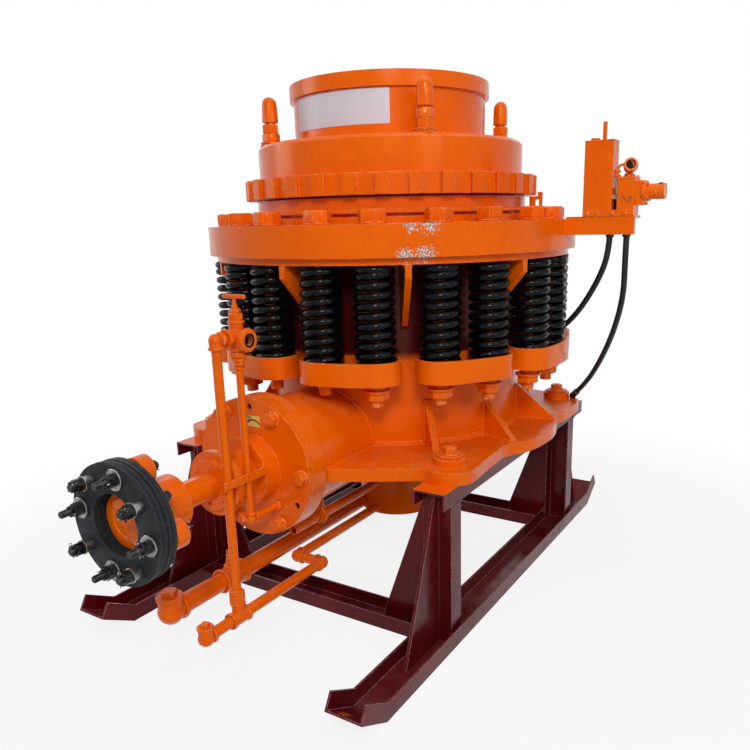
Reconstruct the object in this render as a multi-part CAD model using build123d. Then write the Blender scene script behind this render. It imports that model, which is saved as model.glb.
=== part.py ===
"""Spring cone crusher on a welded channel skid, drawn about the crusher's own axis."""
from build123d import *
import math
import os

# Driving sizes in millimetres. Z is the crusher axis, the countershaft points to -Y
# and the floor is z = 0. The last step moves everything onto the middle of its footprint.

# Skid of channels
CH_W = 120.0
CH_H = 55.0
CH_T = 6.0
RUN_X = 518.0
RUN_FRONT = -1008.0
RUN_REAR = 760.0
TIP_RUN = 120.0
TIP_RISE = 67.0
RAIL_X = 514.0
RAIL_W = 110.0
RAIL_H = 51.0
RAIL_TOP = 533.0
RAIL_FRONT = -655.0
RAIL_REAR = 640.0
POST_D = 66.0
POST_FRONT_Y = -600.0
POST_REAR_Y = 550.0
CROSS_FRONT_Y = -571.0
CROSS_REAR_Y = 455.0
CROSS_W = 108.0
CROSS_H = 51.0
GUSSET_T = 10.0
GUSSET_REACH = 208.0
GUSSET_FOOT_X = 293.0
GUSSET_FRONT_OFF = 34.0
GUSSET_REAR_OFF = 60.0

# Main frame casting
BASE_T = 42.0
LUG_X = 502.0
LUG_Y = 492.0
BOSS_R = 54.0
BOSS_H = 24.0
DRUM_T = 40.0
FOOT_FLARE = 12.0
FLANGE_EDGE = 55.0
FLANGE_T = 22.0
RIB_T = 20.0
RIB_EDGE = 40.0
RIB_DROP = 225.0
FOOT_RIB_T = 22.0
HUB_R = 155.0
HUB_BORE_R = 60.0
HUB_Z0 = 178.0
HUB_FLOOR = 30.0
HUB_TOP = 900.0
ARM_W = 84.0
ARM_H = 170.0
BARREL_R = 221.0
BARREL_FLANGE_L = 83.0
BARREL_STEP = 30.0
BARREL_TAPER = 9.0
BARREL_T = 22.0
COVER_FACE = -848.0
COVER_T = 20.0
SHAFT_Z = 589.0
BOLT_WASHER_R = 43.0
BOLT_WASHER_T = 8.0
BOLT_HEAD_AF = 40.0
BOLT_HEAD_H = 26.0

# Countershaft cover and bearing
STEP_R = 109.0
STEP_L = 62.0
NECK_R = 74.0
NECK_L = 106.0
NECK_FLANGE_R = 98.0
NECK_FLANGE_T = 26.0
SEAL_R = 77.0
SEAL_T = 16.0
SLEEVE_R = 62.0
COVER_CIRCLE_R = 194.0
COVER_BOLT_AF = 36.0
COVER_BOLT_H = 22.0
JACK_HOLE_R = 10.0

# Countershaft and coupling
SHAFT_R = 40.0
RUN_GAP = 0.05
SHAFT_END = -480.0
DISC_FRONT = -1358.0
DISC_T = 58.0
DISC_R = 167.0
DISC_HOLE = 85.0
PIN_CIRCLE_R = 131.0
PIN_PHASE = -11.0
PIN_R = 10.0
PIN_FRONT_L = 62.0
PIN_BACK_L = 34.0
PIN_WASHER_R = 29.0
PIN_WASHER_T = 6.0
PIN_SLEEVE_R = 17.0
PIN_SLEEVE_L = 24.0
PIN_NUT_AF = 32.0
PIN_NUT_H = 30.0
LOBE_R = 39.0
LOBE_DEPTH = 38.0
COUPLING_HUB_R = 78.0
COUPLING_HUB_L = 132.0
HUB_SETBACK = 6.0

# Adjustment ring, springs and seats
RING_R = 685.0
RING_Z0 = 1215.0
RING_T = 99.0
PAIRS = 10
SPRING_CIRCLE_IN = 80.0
DRUM_IN = 200.0
SPRING_SPACE = 19.8
FIRST_PAIR = -72.0
SPRING_R = 67.5
WIRE = 26.0
COIL_PITCH = 33.5
SEAT_Z0 = 822.0
SEAT_H = 74.0
SEAT_FLOOR = 22.0
SEAT_W = 160.0
SEAT_WALL = 11.0
ROD_R = 16.0
ROD_TAIL_R = 21.0
ROD_TAIL = 79.0
ROD_TAIL_SHORT = 44.0
ROD_SLEEVE_R = 29.0
ROD_SLEEVE_H = 22.0
ROD_WASHER_R = 44.0
ROD_WASHER_H = 8.0
ROD_NUT_AF = 68.0
ROD_NUT_H = 25.0
ROD_COLLAR_R = 33.0
ROD_COLLAR_H = 11.0
HEAD_AF = 78.0
HEAD_WASHER_H = 7.0
HEAD_H = 44.0
NECK_IN = 185.0
LIP_R_MORE = 20.0
GROOVE_DEPTH = 24.0
GROOVE_Z = 22.0
GROOVE_H = 10.0
LIP_H = 11.0

# Bowl group
NECK_WALL = 48.0
TURN_GAP = 0.3
CAP_GAP = 6.0
CAP_OUT = 54.0
CAP_Z0 = 1402.0
CAP_T = 66.0
TEETH = 32
TOOTH_PHASE = 1.0
TOOTH_DEPTH = 16.0
TOOTH_SHARE = 0.44
BOWL_IN = 13.0
BOWL_Z1 = 1586.0
BOWL_WALL = 60.0
HOPPER_IN = 137.0
HOPPER_T = 12.0
RIM_OUT = 14.0
RIM_H = 49.5
HOPPER_Z1 = 1791.5
THROAT_IN = 115.0
LINER_T = 35.0
BOLT_IN = 47.0
BOLT_PHASE = -43.3
BOWL_BOLTS = 4
CAP_NUT_R = 25.0
CAP_NUT_H = 64.0

# Mantle with its feed plate
MANTLE_GAP = 47.0
MANTLE_STEM_L = 300.0
PLATE_IN = 70.0
PLATE_DROP = 8.0

# Pawl bracket on the ring beside its neck
PAWL_DEG = 15.0
PAWL_OUT = 25.0
PAWL_T = 14.0
PAWL_SLOT = 12.0
PAWL_RISE = 8.0

# Hydraulic unit on the ring
HB_Y = 0.0
HB_OUT = 226.0
HB_Z0 = 1262.0
HB_Z1 = 1321.0
HB_T = 10.0
HB_DEPTH = 72.0
UNIT_DEPTH = 60.0
TANK_OUT = 56.0
TANK_W = 93.0
TANK_Z1 = 1556.0
BLOCK_OUT = 166.0
BLOCK_W = 55.0
BLOCK_Z1 = 1440.0
PUMP_OUT = 309.0
PUMP_R = 24.0
PUMP_Z = 1393.0
HOSE_R = 10.0
GLAND_R = 15.0
GLAND_Y = 32.0
GLAND_A_OUT = 141.0
GLAND_B_OUT = 195.0

# Oil pipes: outer radii of 1/2, 3/4, 1 and 2 inch steel pipe
R_HALF = 10.65
R_THREE_QUARTER = 13.45
R_ONE = 16.85
R_TWO = 30.15
RISER_X = 92.0
RISER_Y = -1050.0
THIN_X = 95.0
THIN_Y = -972.0
THIN_Z = 482.0
VALVE_Z = 1022.0
VALVE_R = 20.0
PORT_R = 27.0
PORT_BORE = 15.0
LOW_Z = 200.0
LOW_FRONT = -1180.0
LOW_TURN = -650.0
LOW_X = -12.0
RET_X = -95.0
RET_Z = 210.0
RET_FRONT = -1140.0
RET_TEE_Y = -885.0
OPEN_X = 30.0
OPEN_Z = 330.0
OPEN_FRONT = -715.0
OPEN_WALL = 3.4
BAR_T = 6.0
BAR_H = 24.0
BAR_FOOT = 28.0
BAR_FRONT = -1080.0
BAR_Z = 617.0

SEAT_GAP = 0.3

# Radii and places that follow from the ring's radius
SPRING_CIRCLE_R = RING_R - SPRING_CIRCLE_IN
PAIR_HALF = math.degrees(math.asin((SPRING_R + SPRING_SPACE) / SPRING_CIRCLE_R))
DRUM_R = RING_R - DRUM_IN
FLANGE_R = SPRING_CIRCLE_R + FLANGE_EDGE
NECK_OUT_R = RING_R - NECK_IN
LIP_R = NECK_OUT_R + LIP_R_MORE
BOWL_BORE_R = NECK_OUT_R - NECK_WALL
BOWL_R = NECK_OUT_R - BOWL_IN
CAP_R = BOWL_R + CAP_OUT
HOPPER_R = BOWL_R - HOPPER_IN
RIM_R = HOPPER_R + RIM_OUT
THROAT_R = HOPPER_R - THROAT_IN
BOLT_CIRCLE_R = BOWL_R - BOLT_IN
PLATE_R = THROAT_R - PLATE_IN
PAWL_R1 = CAP_R + PAWL_OUT
HB_X1 = RING_R + HB_OUT
TANK_X0 = RING_R + TANK_OUT
TANK_X1 = TANK_X0 + TANK_W
BLOCK_X0 = RING_R + BLOCK_OUT
BLOCK_X1 = BLOCK_X0 + BLOCK_W
PUMP_X1 = RING_R + PUMP_OUT
GLAND_A_X = RING_R + GLAND_A_OUT
GLAND_B_X = RING_R + GLAND_B_OUT

# Levels and faces that follow from the sizes above
BASE_Z1 = RAIL_TOP + BASE_T
RING_Z1 = RING_Z0 + RING_T
FLANGE_Z0 = RING_Z0 - FLANGE_T
CAP_Z1 = CAP_Z0 + CAP_T
HUB_BACK = DISC_FRONT + DISC_T
STEP_FACE = COVER_FACE - STEP_L
NECK_FACE = STEP_FACE - NECK_L
IN_X = RUN_X - CH_W / 2
BOWL_GUIDE_R = BOWL_BORE_R - TURN_GAP
BARREL_BACK = COVER_FACE + BARREL_FLANGE_L
BARREL_BODY_R = BARREL_R - BARREL_STEP

NODES = {}


def cyl(radius, z0, z1, x=0.0, y=0.0):
    return Pos(x, y, (z0 + z1) / 2) * Cylinder(radius, z1 - z0)


def tube(r_out, r_in, z0, z1, x=0.0, y=0.0):
    return cyl(r_out, z0, z1, x, y) - cyl(r_in, z0 - 1, z1 + 1, x, y)


def box(x0, x1, y0, y1, z0, z1):
    return Pos((x0 + x1) / 2, (y0 + y1) / 2, (z0 + z1) / 2) * Box(x1 - x0, y1 - y0, z1 - z0)


def hexa(across_flats, z0, z1, x=0.0, y=0.0, turn=0.0):
    face = RegularPolygon(across_flats / 2, 6, major_radius=False)
    return Pos(x, y, z0) * (Rot(0, 0, turn) * extrude(face, z1 - z0))


def ycyl(radius, y0, y1, x=0.0, z=0.0):
    return Pos(x, (y0 + y1) / 2, z) * (Rot(90, 0, 0) * Cylinder(radius, abs(y1 - y0)))


def xcyl(radius, x0, x1, y=0.0, z=0.0):
    return Pos((x0 + x1) / 2, y, z) * (Rot(0, 90, 0) * Cylinder(radius, abs(x1 - x0)))


def yhex(across_flats, y0, y1, x=0.0, z=0.0, turn=0.0):
    solid = hexa(across_flats, -abs(y1 - y0) / 2, abs(y1 - y0) / 2, turn=turn)
    return Pos(x, (y0 + y1) / 2, z) * (Rot(90, 0, 0) * solid)


def ball(radius, x, y, z):
    return Pos(x, y, z) * Sphere(radius)


def turned(points):
    """Solid of revolution about Z from (radius, z) points."""
    face = make_face(Polyline([(r, 0, z) for r, z in points], close=True))
    return revolve(face, Axis.Z, 360)


def plate_x(points, x0, x1):
    """Plate in a plane of constant x from (y, z) points."""
    face = make_face(Polyline([(x0, y, z) for y, z in points], close=True))
    return extrude(face, amount=x1 - x0, dir=(1, 0, 0))


def plate_y(points, y0, y1):
    """Plate in a plane of constant y from (x, z) points."""
    face = make_face(Polyline([(x, y0, z) for x, z in points], close=True))
    return extrude(face, amount=y1 - y0, dir=(0, 1, 0))


def polar(radius, deg):
    return radius * math.cos(math.radians(deg)), radius * math.sin(math.radians(deg))


def join(parts):
    first = parts[0]
    for other in parts[1:]:
        first = first + other
    return first


def pair_spots():
    """Angle of each spring pair's seat and the centres of its two springs."""
    spots = []
    for k in range(PAIRS):
        deg = FIRST_PAIR + 360.0 / PAIRS * k
        spots.append((deg, [polar(SPRING_CIRCLE_R, deg + s * PAIR_HALF) for s in (-1, 1)]))
    return spots


PAIR_SPOTS = pair_spots()


# Skid: runners are channels with the open side up and turned-up tips
def bent(height):
    """Side view of the runner from its underside up by height: both tips are bent up and cut off square."""
    lean = math.atan2(TIP_RISE, TIP_RUN)
    back = height * math.sin(lean)
    top = TIP_RISE + height * math.cos(lean)
    kink = height * math.tan(lean / 2)
    front = RUN_FRONT - TIP_RUN
    rear = RUN_REAR + TIP_RUN
    under = [(front, TIP_RISE), (RUN_FRONT, 0), (RUN_REAR, 0), (rear, TIP_RISE)]
    return under + [(rear - back, top), (RUN_REAR - kink, height), (RUN_FRONT + kink, height), (front + back, top)]


def runner(side):
    x0 = side * RUN_X - CH_W / 2
    x1 = side * RUN_X + CH_W / 2
    walls = [plate_x(bent(CH_H), x, x + CH_T) for x in (x0, x1 - CH_T)]
    return join([plate_x(bent(CH_T), x0, x1)] + walls)


NODES["runner_left"] = [runner(-1)]
NODES["runner_right"] = [runner(1)]


# Cross channels between the runners, open side up
def cross(yc):
    y0 = yc - CROSS_W / 2
    y1 = yc + CROSS_W / 2
    floor = box(-IN_X, IN_X, y0, y1, 0, CH_T)
    walls = [box(-IN_X, IN_X, y0, y0 + CH_T, 0, CROSS_H), box(-IN_X, IN_X, y1 - CH_T, y1, 0, CROSS_H)]
    return join([floor] + walls)


NODES["cross_beam_front"] = [cross(CROSS_FRONT_Y)]
NODES["cross_beam_rear"] = [cross(CROSS_REAR_Y)]


# Rails under the base plate, channels with the open side down
def rail(side):
    x0 = side * RAIL_X - RAIL_W / 2
    x1 = x0 + RAIL_W
    z0 = RAIL_TOP - RAIL_H
    top = box(x0, x1, RAIL_FRONT, RAIL_REAR, RAIL_TOP - CH_T, RAIL_TOP)
    walls = [box(x, x + CH_T, RAIL_FRONT, RAIL_REAR, z0, RAIL_TOP) for x in (x0, x1 - CH_T)]
    return join([top] + walls)


NODES["rail_left"] = [rail(-1)]
NODES["rail_right"] = [rail(1)]


def post(side, front):
    """Channel post with its web outwards, a gusset along the runner and one over the cross channel."""
    web_y = POST_FRONT_Y if front else POST_REAR_Y
    out = -1 if front else 1
    xc = side * RAIL_X
    z0 = CH_T
    z1 = RAIL_TOP - CH_T
    half = RAIL_W / 2 - CH_T
    x0 = xc - half
    x1 = xc + half
    ya, yb = sorted([web_y, web_y - out * CH_T])
    body = box(x0, x1, ya, yb, z0, z1)
    ya, yb = sorted([web_y, web_y - out * POST_D])
    body = body + box(x0, x0 + CH_T, ya, yb, z0, z1) + box(x1 - CH_T, x1, ya, yb, z0, z1)
    tip = web_y + out * GUSSET_REACH if front else min(web_y + GUSSET_REACH, RUN_REAR - 4)
    slim = [(web_y, z1), (web_y + out * 14, z1), (tip, z0 + 8), (tip, z0), (web_y, z0)]
    body = body + plate_x(slim, xc - GUSSET_T / 2, xc + GUSSET_T / 2)
    gy = web_y - out * (GUSSET_FRONT_OFF if front else GUSSET_REAR_OFF)
    xin = xc - side * half
    xrun = side * IN_X
    foot = side * GUSSET_FOOT_X
    rail_z = RAIL_TOP - RAIL_H
    wide = [(xin, rail_z), (xrun - side * 6, rail_z), (foot, CH_T + 34), (foot, CH_T), (xrun, CH_T)]
    wide += [(xrun, CH_H), (xin, CH_H)]
    return body + plate_y(wide, gy - GUSSET_T / 2, gy + GUSSET_T / 2)


for name, side, front in (
    ("post_front_left", -1, True),
    ("post_front_right", 1, True),
    ("post_rear_left", -1, False),
    ("post_rear_right", 1, False),
):
    NODES[name] = [post(side, front)]

# Main frame casting: base plate with lugs, drum, flange, ribs, barrel, hub and arms
# Right half of the base plate as shares of the lugs' x and y: a straight front, then curves
FRONT_CORNER = (0.35, -1.502)
LUG_CURVE = [
    (0.886, -1.185),
    (0.938, -1.189),
    (0.998, -1.207),
    (1.05, -1.201),
    (1.12, -1.165),
    (1.175, -1.102),
    (1.187, -1.012),
    (1.179, -0.907),
    (1.169, -0.776),
    (1.163, -0.6),
    (1.166, -0.486),
    (1.195, -0.417),
    (1.261, -0.293),
    (1.291, -0.1),
    (1.297, 0.055),
    (1.277, 0.197),
    (1.255, 0.283),
]
REAR_CURVE = [
    (1.187, 0.376),
    (1.195, 0.447),
    (1.211, 0.526),
    (1.219, 0.671),
    (1.22, 0.821),
    (1.207, 0.957),
    (1.155, 1.045),
    (1.062, 1.098),
    (0.837, 1.159),
    (0.502, 1.26),
]


def base_plate():
    z = RAIL_TOP

    def at(points, side):
        return [(side * LUG_X * u, LUG_Y * v, z) for u, v in points]

    edges = []
    for side in (1, -1):
        corner = at([FRONT_CORNER], side)[0]
        lug = at(LUG_CURVE, side)
        rear = at(REAR_CURVE, side)
        edges += [Line(corner, lug[0]), Spline(lug), Line(lug[-1], rear[0]), Spline(rear)]
    ends = [at([FRONT_CORNER], side)[0] for side in (1, -1)]
    tails = [at(REAR_CURVE, side)[-1] for side in (1, -1)]
    edges += [Line(*ends), Line(*tails)]
    return extrude(make_face(edges), amount=BASE_T, dir=(0, 0, 1))


frame = base_plate() - cyl(DRUM_R - DRUM_T, RAIL_TOP - 1, BASE_Z1 + 1)
frame = frame + turned(
    [
        (DRUM_R - DRUM_T, RAIL_TOP),
        (DRUM_R + FOOT_FLARE, RAIL_TOP),
        (DRUM_R + FOOT_FLARE, BASE_Z1),
        (DRUM_R, BASE_Z1 + FOOT_FLARE),
        (DRUM_R, FLANGE_Z0 - 12),
        (DRUM_R + 12, FLANGE_Z0),
        (FLANGE_R, FLANGE_Z0),
        (FLANGE_R, RING_Z0 - SEAT_GAP),
        (DRUM_R - DRUM_T, RING_Z0 - SEAT_GAP),
    ]
)
BARREL_IN = -DRUM_R + 2 * DRUM_T
barrel = turned(
    [
        (0, -BARREL_IN),
        (BARREL_BODY_R - BARREL_TAPER, -BARREL_IN),
        (BARREL_BODY_R, -BARREL_BACK - 12),
        (BARREL_BODY_R + 12, -BARREL_BACK),
        (BARREL_R, -BARREL_BACK),
        (BARREL_R, -COVER_FACE - COVER_T),
        (0, -COVER_FACE - COVER_T),
    ]
)
frame = frame + Pos(0, 0, SHAFT_Z) * (Rot(90, 0, 0) * barrel)
frame = frame - ycyl(BARREL_BODY_R - BARREL_TAPER - BARREL_T, COVER_FACE, BARREL_IN - DRUM_T, z=SHAFT_Z)
frame = frame - cyl(DRUM_R - DRUM_T, BASE_Z1 - 200, RING_Z0 - 200)
for sx in (-1, 1):
    for sy in (-1, 1):
        frame = frame + cyl(BOSS_R, RAIL_TOP, BASE_Z1 + BOSS_H, sx * LUG_X, sy * LUG_Y)
for deg, _ in PAIR_SPOTS:
    rib_pts = [
        (DRUM_R - 10, FLANGE_Z0 + 5),
        (FLANGE_R - 1, FLANGE_Z0 + 5),
        (FLANGE_R - 1, FLANGE_Z0 - RIB_EDGE),
        (DRUM_R - 10, FLANGE_Z0 - RIB_DROP),
    ]
    rib = plate_y(rib_pts, -RIB_T / 2, RIB_T / 2)
    frame = frame + Rot(0, 0, deg - 180.0 / PAIRS) * rib
# Ribs at the drum's foot: angle, reach beyond the drum and height over the base plate
FOOT_RIBS = [(-45.5, 110, 158), (-17.5, 137, 120), (14, 150, 130), (45.5, 110, 158), (90, 75, 130)]
FOOT_RIBS += [(180 - deg, reach, rise) for deg, reach, rise in FOOT_RIBS[:4]]
for deg, reach, rise in FOOT_RIBS:
    foot_pts = [
        (DRUM_R - 10, BASE_Z1 + rise),
        (DRUM_R + 8, BASE_Z1 + rise),
        (DRUM_R + reach, BASE_Z1 + 5),
        (DRUM_R + reach, BASE_Z1 - 2),
        (DRUM_R - 10, BASE_Z1 - 2),
    ]
    frame = frame + Rot(0, 0, deg) * plate_y(foot_pts, -FOOT_RIB_T / 2, FOOT_RIB_T / 2)
frame = frame + cyl(HUB_R, HUB_Z0, HUB_TOP)
for deg in (30, 150, 270):
    arm = box(HUB_R - 20, DRUM_R - DRUM_T + 10, -ARM_W / 2, ARM_W / 2, RAIL_TOP, RAIL_TOP + ARM_H)
    frame = frame + Rot(0, 0, deg) * arm
frame = frame - cyl(HUB_BORE_R, HUB_Z0 + HUB_FLOOR, HUB_TOP + 1)
frame = frame - ycyl(SHAFT_R + 8, SHAFT_END - 10, -HUB_R - 10, z=SHAFT_Z)
for _, spots in PAIR_SPOTS:
    for x, y in spots:
        frame = frame - cyl(ROD_R + 2, FLANGE_Z0 - 2, RING_Z0 + 1, x, y)
NODES["main_frame"] = [frame]

# Foundation bolts, one at each lug
found = []
for sx in (-1, 1):
    for sy in (-1, 1):
        z = BASE_Z1 + BOSS_H
        bolt = cyl(BOLT_WASHER_R, z, z + BOLT_WASHER_T, sx * LUG_X, sy * LUG_Y)
        top = z + BOLT_WASHER_T
        found.append(bolt + hexa(BOLT_HEAD_AF, top, top + BOLT_HEAD_H, sx * LUG_X, sy * LUG_Y))
NODES["foundation_bolts"] = found

# Countershaft cover with its stepped boss, six bolts and three jacking holes
cover = ycyl(BARREL_R, COVER_FACE, COVER_FACE + COVER_T - SEAT_GAP, z=SHAFT_Z)
cover = cover + ycyl(STEP_R, STEP_FACE, COVER_FACE, z=SHAFT_Z)
cover = cover + ycyl(NECK_R, NECK_FACE, STEP_FACE, z=SHAFT_Z)
cover = cover + ycyl(NECK_FLANGE_R, NECK_FACE, NECK_FACE + NECK_FLANGE_T, z=SHAFT_Z)
cover = cover - ycyl(SLEEVE_R, NECK_FACE - 1, COVER_FACE + COVER_T + 1, z=SHAFT_Z)
for k in range(6):
    x, z = polar(COVER_CIRCLE_R, 60 * k)
    cover = cover + yhex(COVER_BOLT_AF, COVER_FACE - COVER_BOLT_H, COVER_FACE + 1, x, SHAFT_Z + z)
for k in range(3):
    x, z = polar(COVER_CIRCLE_R, 90 + 120 * k)
    cover = cover - ycyl(JACK_HOLE_R, COVER_FACE - 2, COVER_FACE + 10, x, SHAFT_Z + z)
NODES["countershaft_cover"] = [cover]
seal = ycyl(SEAL_R, NECK_FACE - SEAL_T, NECK_FACE - SEAT_GAP, z=SHAFT_Z)
seal = seal + ycyl(SLEEVE_R - 1, NECK_FACE - SEAT_GAP, COVER_FACE + COVER_T, z=SHAFT_Z)
seal = seal - ycyl(SHAFT_R + RUN_GAP, NECK_FACE - SEAL_T - 1, COVER_FACE + COVER_T + 1, z=SHAFT_Z)
NODES["countershaft_bearing"] = [seal]

# Shaft, coupling hub with four lobes, laminated rubber disc and eight pins
NODES["countershaft"] = [ycyl(SHAFT_R, HUB_BACK + 8, SHAFT_END, z=SHAFT_Z)]


def lobe_arm(k):
    """Arm of the coupling hub towards lobe k."""
    arm = box(0, PIN_CIRCLE_R, HUB_BACK + 6, HUB_BACK + LOBE_DEPTH, -LOBE_R + 4, LOBE_R - 4)
    return Pos(0, 0, SHAFT_Z) * (Rot(0, -(PIN_PHASE + 90 * k), 0) * arm)


hub = ycyl(COUPLING_HUB_R, HUB_BACK + HUB_SETBACK, HUB_BACK + COUPLING_HUB_L, z=SHAFT_Z)
for k in range(4):
    x, z = polar(PIN_CIRCLE_R, PIN_PHASE + 90 * k)
    hub = hub + ycyl(LOBE_R, HUB_BACK + SEAT_GAP, HUB_BACK + LOBE_DEPTH, x, SHAFT_Z + z)
    hub = hub + lobe_arm(k)
hub = hub - ycyl(SHAFT_R, HUB_BACK + 8, HUB_BACK + COUPLING_HUB_L + 1, z=SHAFT_Z)
disc = ycyl(DISC_R, DISC_FRONT, HUB_BACK, z=SHAFT_Z)
disc = disc - ycyl(DISC_HOLE, DISC_FRONT - 1, HUB_BACK + 1, z=SHAFT_Z)
pins = []
for k in range(8):
    x, z = polar(PIN_CIRCLE_R, PIN_PHASE + 45 * k)
    z = SHAFT_Z + z
    on_lobe = k % 2 == 0
    seat = HUB_BACK + (LOBE_DEPTH if on_lobe else 0)
    disc = disc - ycyl(PIN_R + SEAT_GAP, DISC_FRONT - 1, HUB_BACK + 1, x, z)
    pin = ycyl(PIN_R, DISC_FRONT - PIN_FRONT_L, seat + PIN_BACK_L, x, z)
    rise = PIN_WASHER_T if on_lobe else PIN_SLEEVE_L
    pin = pin + ycyl(PIN_WASHER_R if on_lobe else PIN_SLEEVE_R, DISC_FRONT - rise, DISC_FRONT - SEAT_GAP, x, z)
    pin = pin + yhex(PIN_NUT_AF, DISC_FRONT - rise - PIN_NUT_H, DISC_FRONT - rise, x, z)
    pin = pin + yhex(PIN_NUT_AF, seat + SEAT_GAP, seat + PIN_BACK_L - 8, x, z)
    pins.append(pin)
    if on_lobe:
        hub = hub - ycyl(PIN_R + SEAT_GAP, HUB_BACK, seat + 1, x, z)
NODES["coupling_hub"] = [hub]
NODES["coupling_disc"] = [disc]
NODES["coupling_pins"] = pins

# Springs as stacks of rounded coils about the long bolts, a tray under each pair
SPRING_Z0 = SEAT_Z0 + SEAT_FLOOR
SPRING_Z1 = FLANGE_Z0
MEAN_R = SPRING_R - WIRE / 2
COILS = round((SPRING_Z1 - SPRING_Z0) / COIL_PITCH)
STEP = (SPRING_Z1 - SPRING_Z0) / COILS
coil_pts = [(MEAN_R - WIRE / 2, SPRING_Z0)]
for i in range(COILS):
    za = SPRING_Z0 + i * STEP
    coil_pts += [(MEAN_R + 6, za), (SPRING_R, za + STEP * 0.28), (SPRING_R, za + STEP * 0.72)]
coil_pts += [(MEAN_R + 6, SPRING_Z1), (MEAN_R - WIRE / 2, SPRING_Z1)]
one_spring = turned(coil_pts)


def seat_tray():
    """Curved tray that holds one pair of springs, centred on the X axis."""
    arc = CenterArc((0, 0, 0), SPRING_CIRCLE_R, -PAIR_HALF, 2 * PAIR_HALF)
    outer = extrude(SlotArc(arc, SEAT_W), SEAT_H)
    inner = extrude(SlotArc(arc, SEAT_W - 2 * SEAT_WALL), SEAT_H)
    tray = Pos(0, 0, SEAT_Z0) * (outer - Pos(0, 0, SEAT_FLOOR) * inner)
    for s in (-1, 1):
        x, y = polar(SPRING_CIRCLE_R, s * PAIR_HALF)
        tray = tray - cyl(ROD_R + SEAT_GAP, SEAT_Z0 - 1, SPRING_Z0 + 1, x, y)
    return tray


def spring_bolt(x, y, deg):
    """Long bolt from the ring's top through spring and tray; those above the barrel end short."""
    above_barrel = abs(x) < BARREL_R - 40 and y < 0
    rod = cyl(ROD_R, SEAT_Z0 - ROD_SLEEVE_H, RING_Z1 + 10, x, y)
    rod = rod + cyl(HEAD_AF / 2 + 5, RING_Z1 + SEAT_GAP, RING_Z1 + HEAD_WASHER_H, x, y)
    rod = rod + hexa(HEAD_AF, RING_Z1 + HEAD_WASHER_H, RING_Z1 + HEAD_H, x, y, deg)
    if above_barrel:
        rod = rod + cyl(ROD_COLLAR_R, SEAT_Z0 - ROD_COLLAR_H, SEAT_Z0 - SEAT_GAP, x, y)
        return rod + cyl(ROD_TAIL_R, SEAT_Z0 - ROD_TAIL_SHORT, SEAT_Z0 - ROD_COLLAR_H, x, y)
    nut_top = SEAT_Z0 - ROD_SLEEVE_H - ROD_WASHER_H
    rod = rod + cyl(ROD_SLEEVE_R, SEAT_Z0 - ROD_SLEEVE_H, SEAT_Z0 - SEAT_GAP, x, y)
    rod = rod + cyl(ROD_WASHER_R, nut_top, SEAT_Z0 - ROD_SLEEVE_H, x, y)
    rod = rod + cyl(ROD_TAIL_R, SEAT_Z0 - ROD_TAIL, nut_top, x, y)
    return rod + hexa(ROD_NUT_AF, nut_top - ROD_NUT_H, nut_top, x, y, deg + 12)


one_tray = seat_tray()
for side in ("front", "rear"):
    springs, seats, rods = [], [], []
    for deg, spots in PAIR_SPOTS:
        faces_front = math.sin(math.radians(deg)) < 0.01 and math.cos(math.radians(deg)) > -0.99
        if faces_front != (side == "front"):
            continue
        seats.append(Rot(0, 0, deg) * one_tray)
        for x, y in spots:
            springs.append(Pos(x, y, 0) * one_spring)
            rods.append(spring_bolt(x, y, deg))
    NODES["springs_" + side] = springs
    NODES["spring_seats_" + side] = seats
    NODES["spring_bolts_" + side] = rods

# Adjustment ring with the grooved neck that guides the bowl
LIP_Z1 = RING_Z1 + GROOVE_Z + GROOVE_H + LIP_H
ring = turned(
    [
        (BOWL_BORE_R, RING_Z0),
        (RING_R, RING_Z0),
        (RING_R, RING_Z1),
        (LIP_R, RING_Z1),
        (LIP_R, RING_Z1 + GROOVE_Z),
        (LIP_R - GROOVE_DEPTH, RING_Z1 + GROOVE_Z),
        (LIP_R - GROOVE_DEPTH, RING_Z1 + GROOVE_Z + GROOVE_H),
        (LIP_R, RING_Z1 + GROOVE_Z + GROOVE_H),
        (LIP_R, LIP_Z1 - 4),
        (LIP_R - 4, LIP_Z1),
        (NECK_OUT_R, LIP_Z1),
        (NECK_OUT_R, CAP_Z0 - CAP_GAP),
        (BOWL_BORE_R, CAP_Z0 - CAP_GAP),
    ]
)
for _, spots in PAIR_SPOTS:
    for x, y in spots:
        ring = ring - cyl(ROD_R + SEAT_GAP, RING_Z0 - 1, RING_Z1 + 1, x, y)
NODES["adjustment_ring"] = [ring]

# Pawl bracket that stands on the ring beside the toothed cap
PAWL_Z0 = RING_Z1 + SEAT_GAP
PAWL_Z1 = CAP_Z0 - CAP_GAP
pawl = box(LIP_R + SEAT_GAP, PAWL_R1, -PAWL_T / 2, PAWL_T / 2, PAWL_Z0, PAWL_Z1)
pawl = pawl + box(CAP_R + 8, PAWL_R1, -PAWL_T / 2, PAWL_T / 2, PAWL_Z1 - 1, CAP_Z0 + PAWL_RISE)
slot_x = PAWL_R1 - 12 - PAWL_SLOT
pawl = pawl - box(slot_x, slot_x + PAWL_SLOT, -PAWL_T, PAWL_T, PAWL_Z0 + 30, PAWL_Z1 - 12)
NODES["pawl_bracket"] = [Rot(0, 0, PAWL_DEG) * pawl]

# Toothed cap on the bowl
cap = tube(CAP_R, BOWL_R + SEAT_GAP, CAP_Z0, CAP_Z1)
NOTCH_W = 2 * math.pi * CAP_R / TEETH * (1 - TOOTH_SHARE)
for k in range(TEETH):
    notch = box(CAP_R - TOOTH_DEPTH, CAP_R + 20, -NOTCH_W / 2, NOTCH_W / 2, CAP_Z0 - 1, CAP_Z1 + 1)
    cap = cap - Rot(0, 0, TOOTH_PHASE + 360.0 / TEETH * k) * notch
NODES["toothed_cap"] = [cap]

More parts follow.
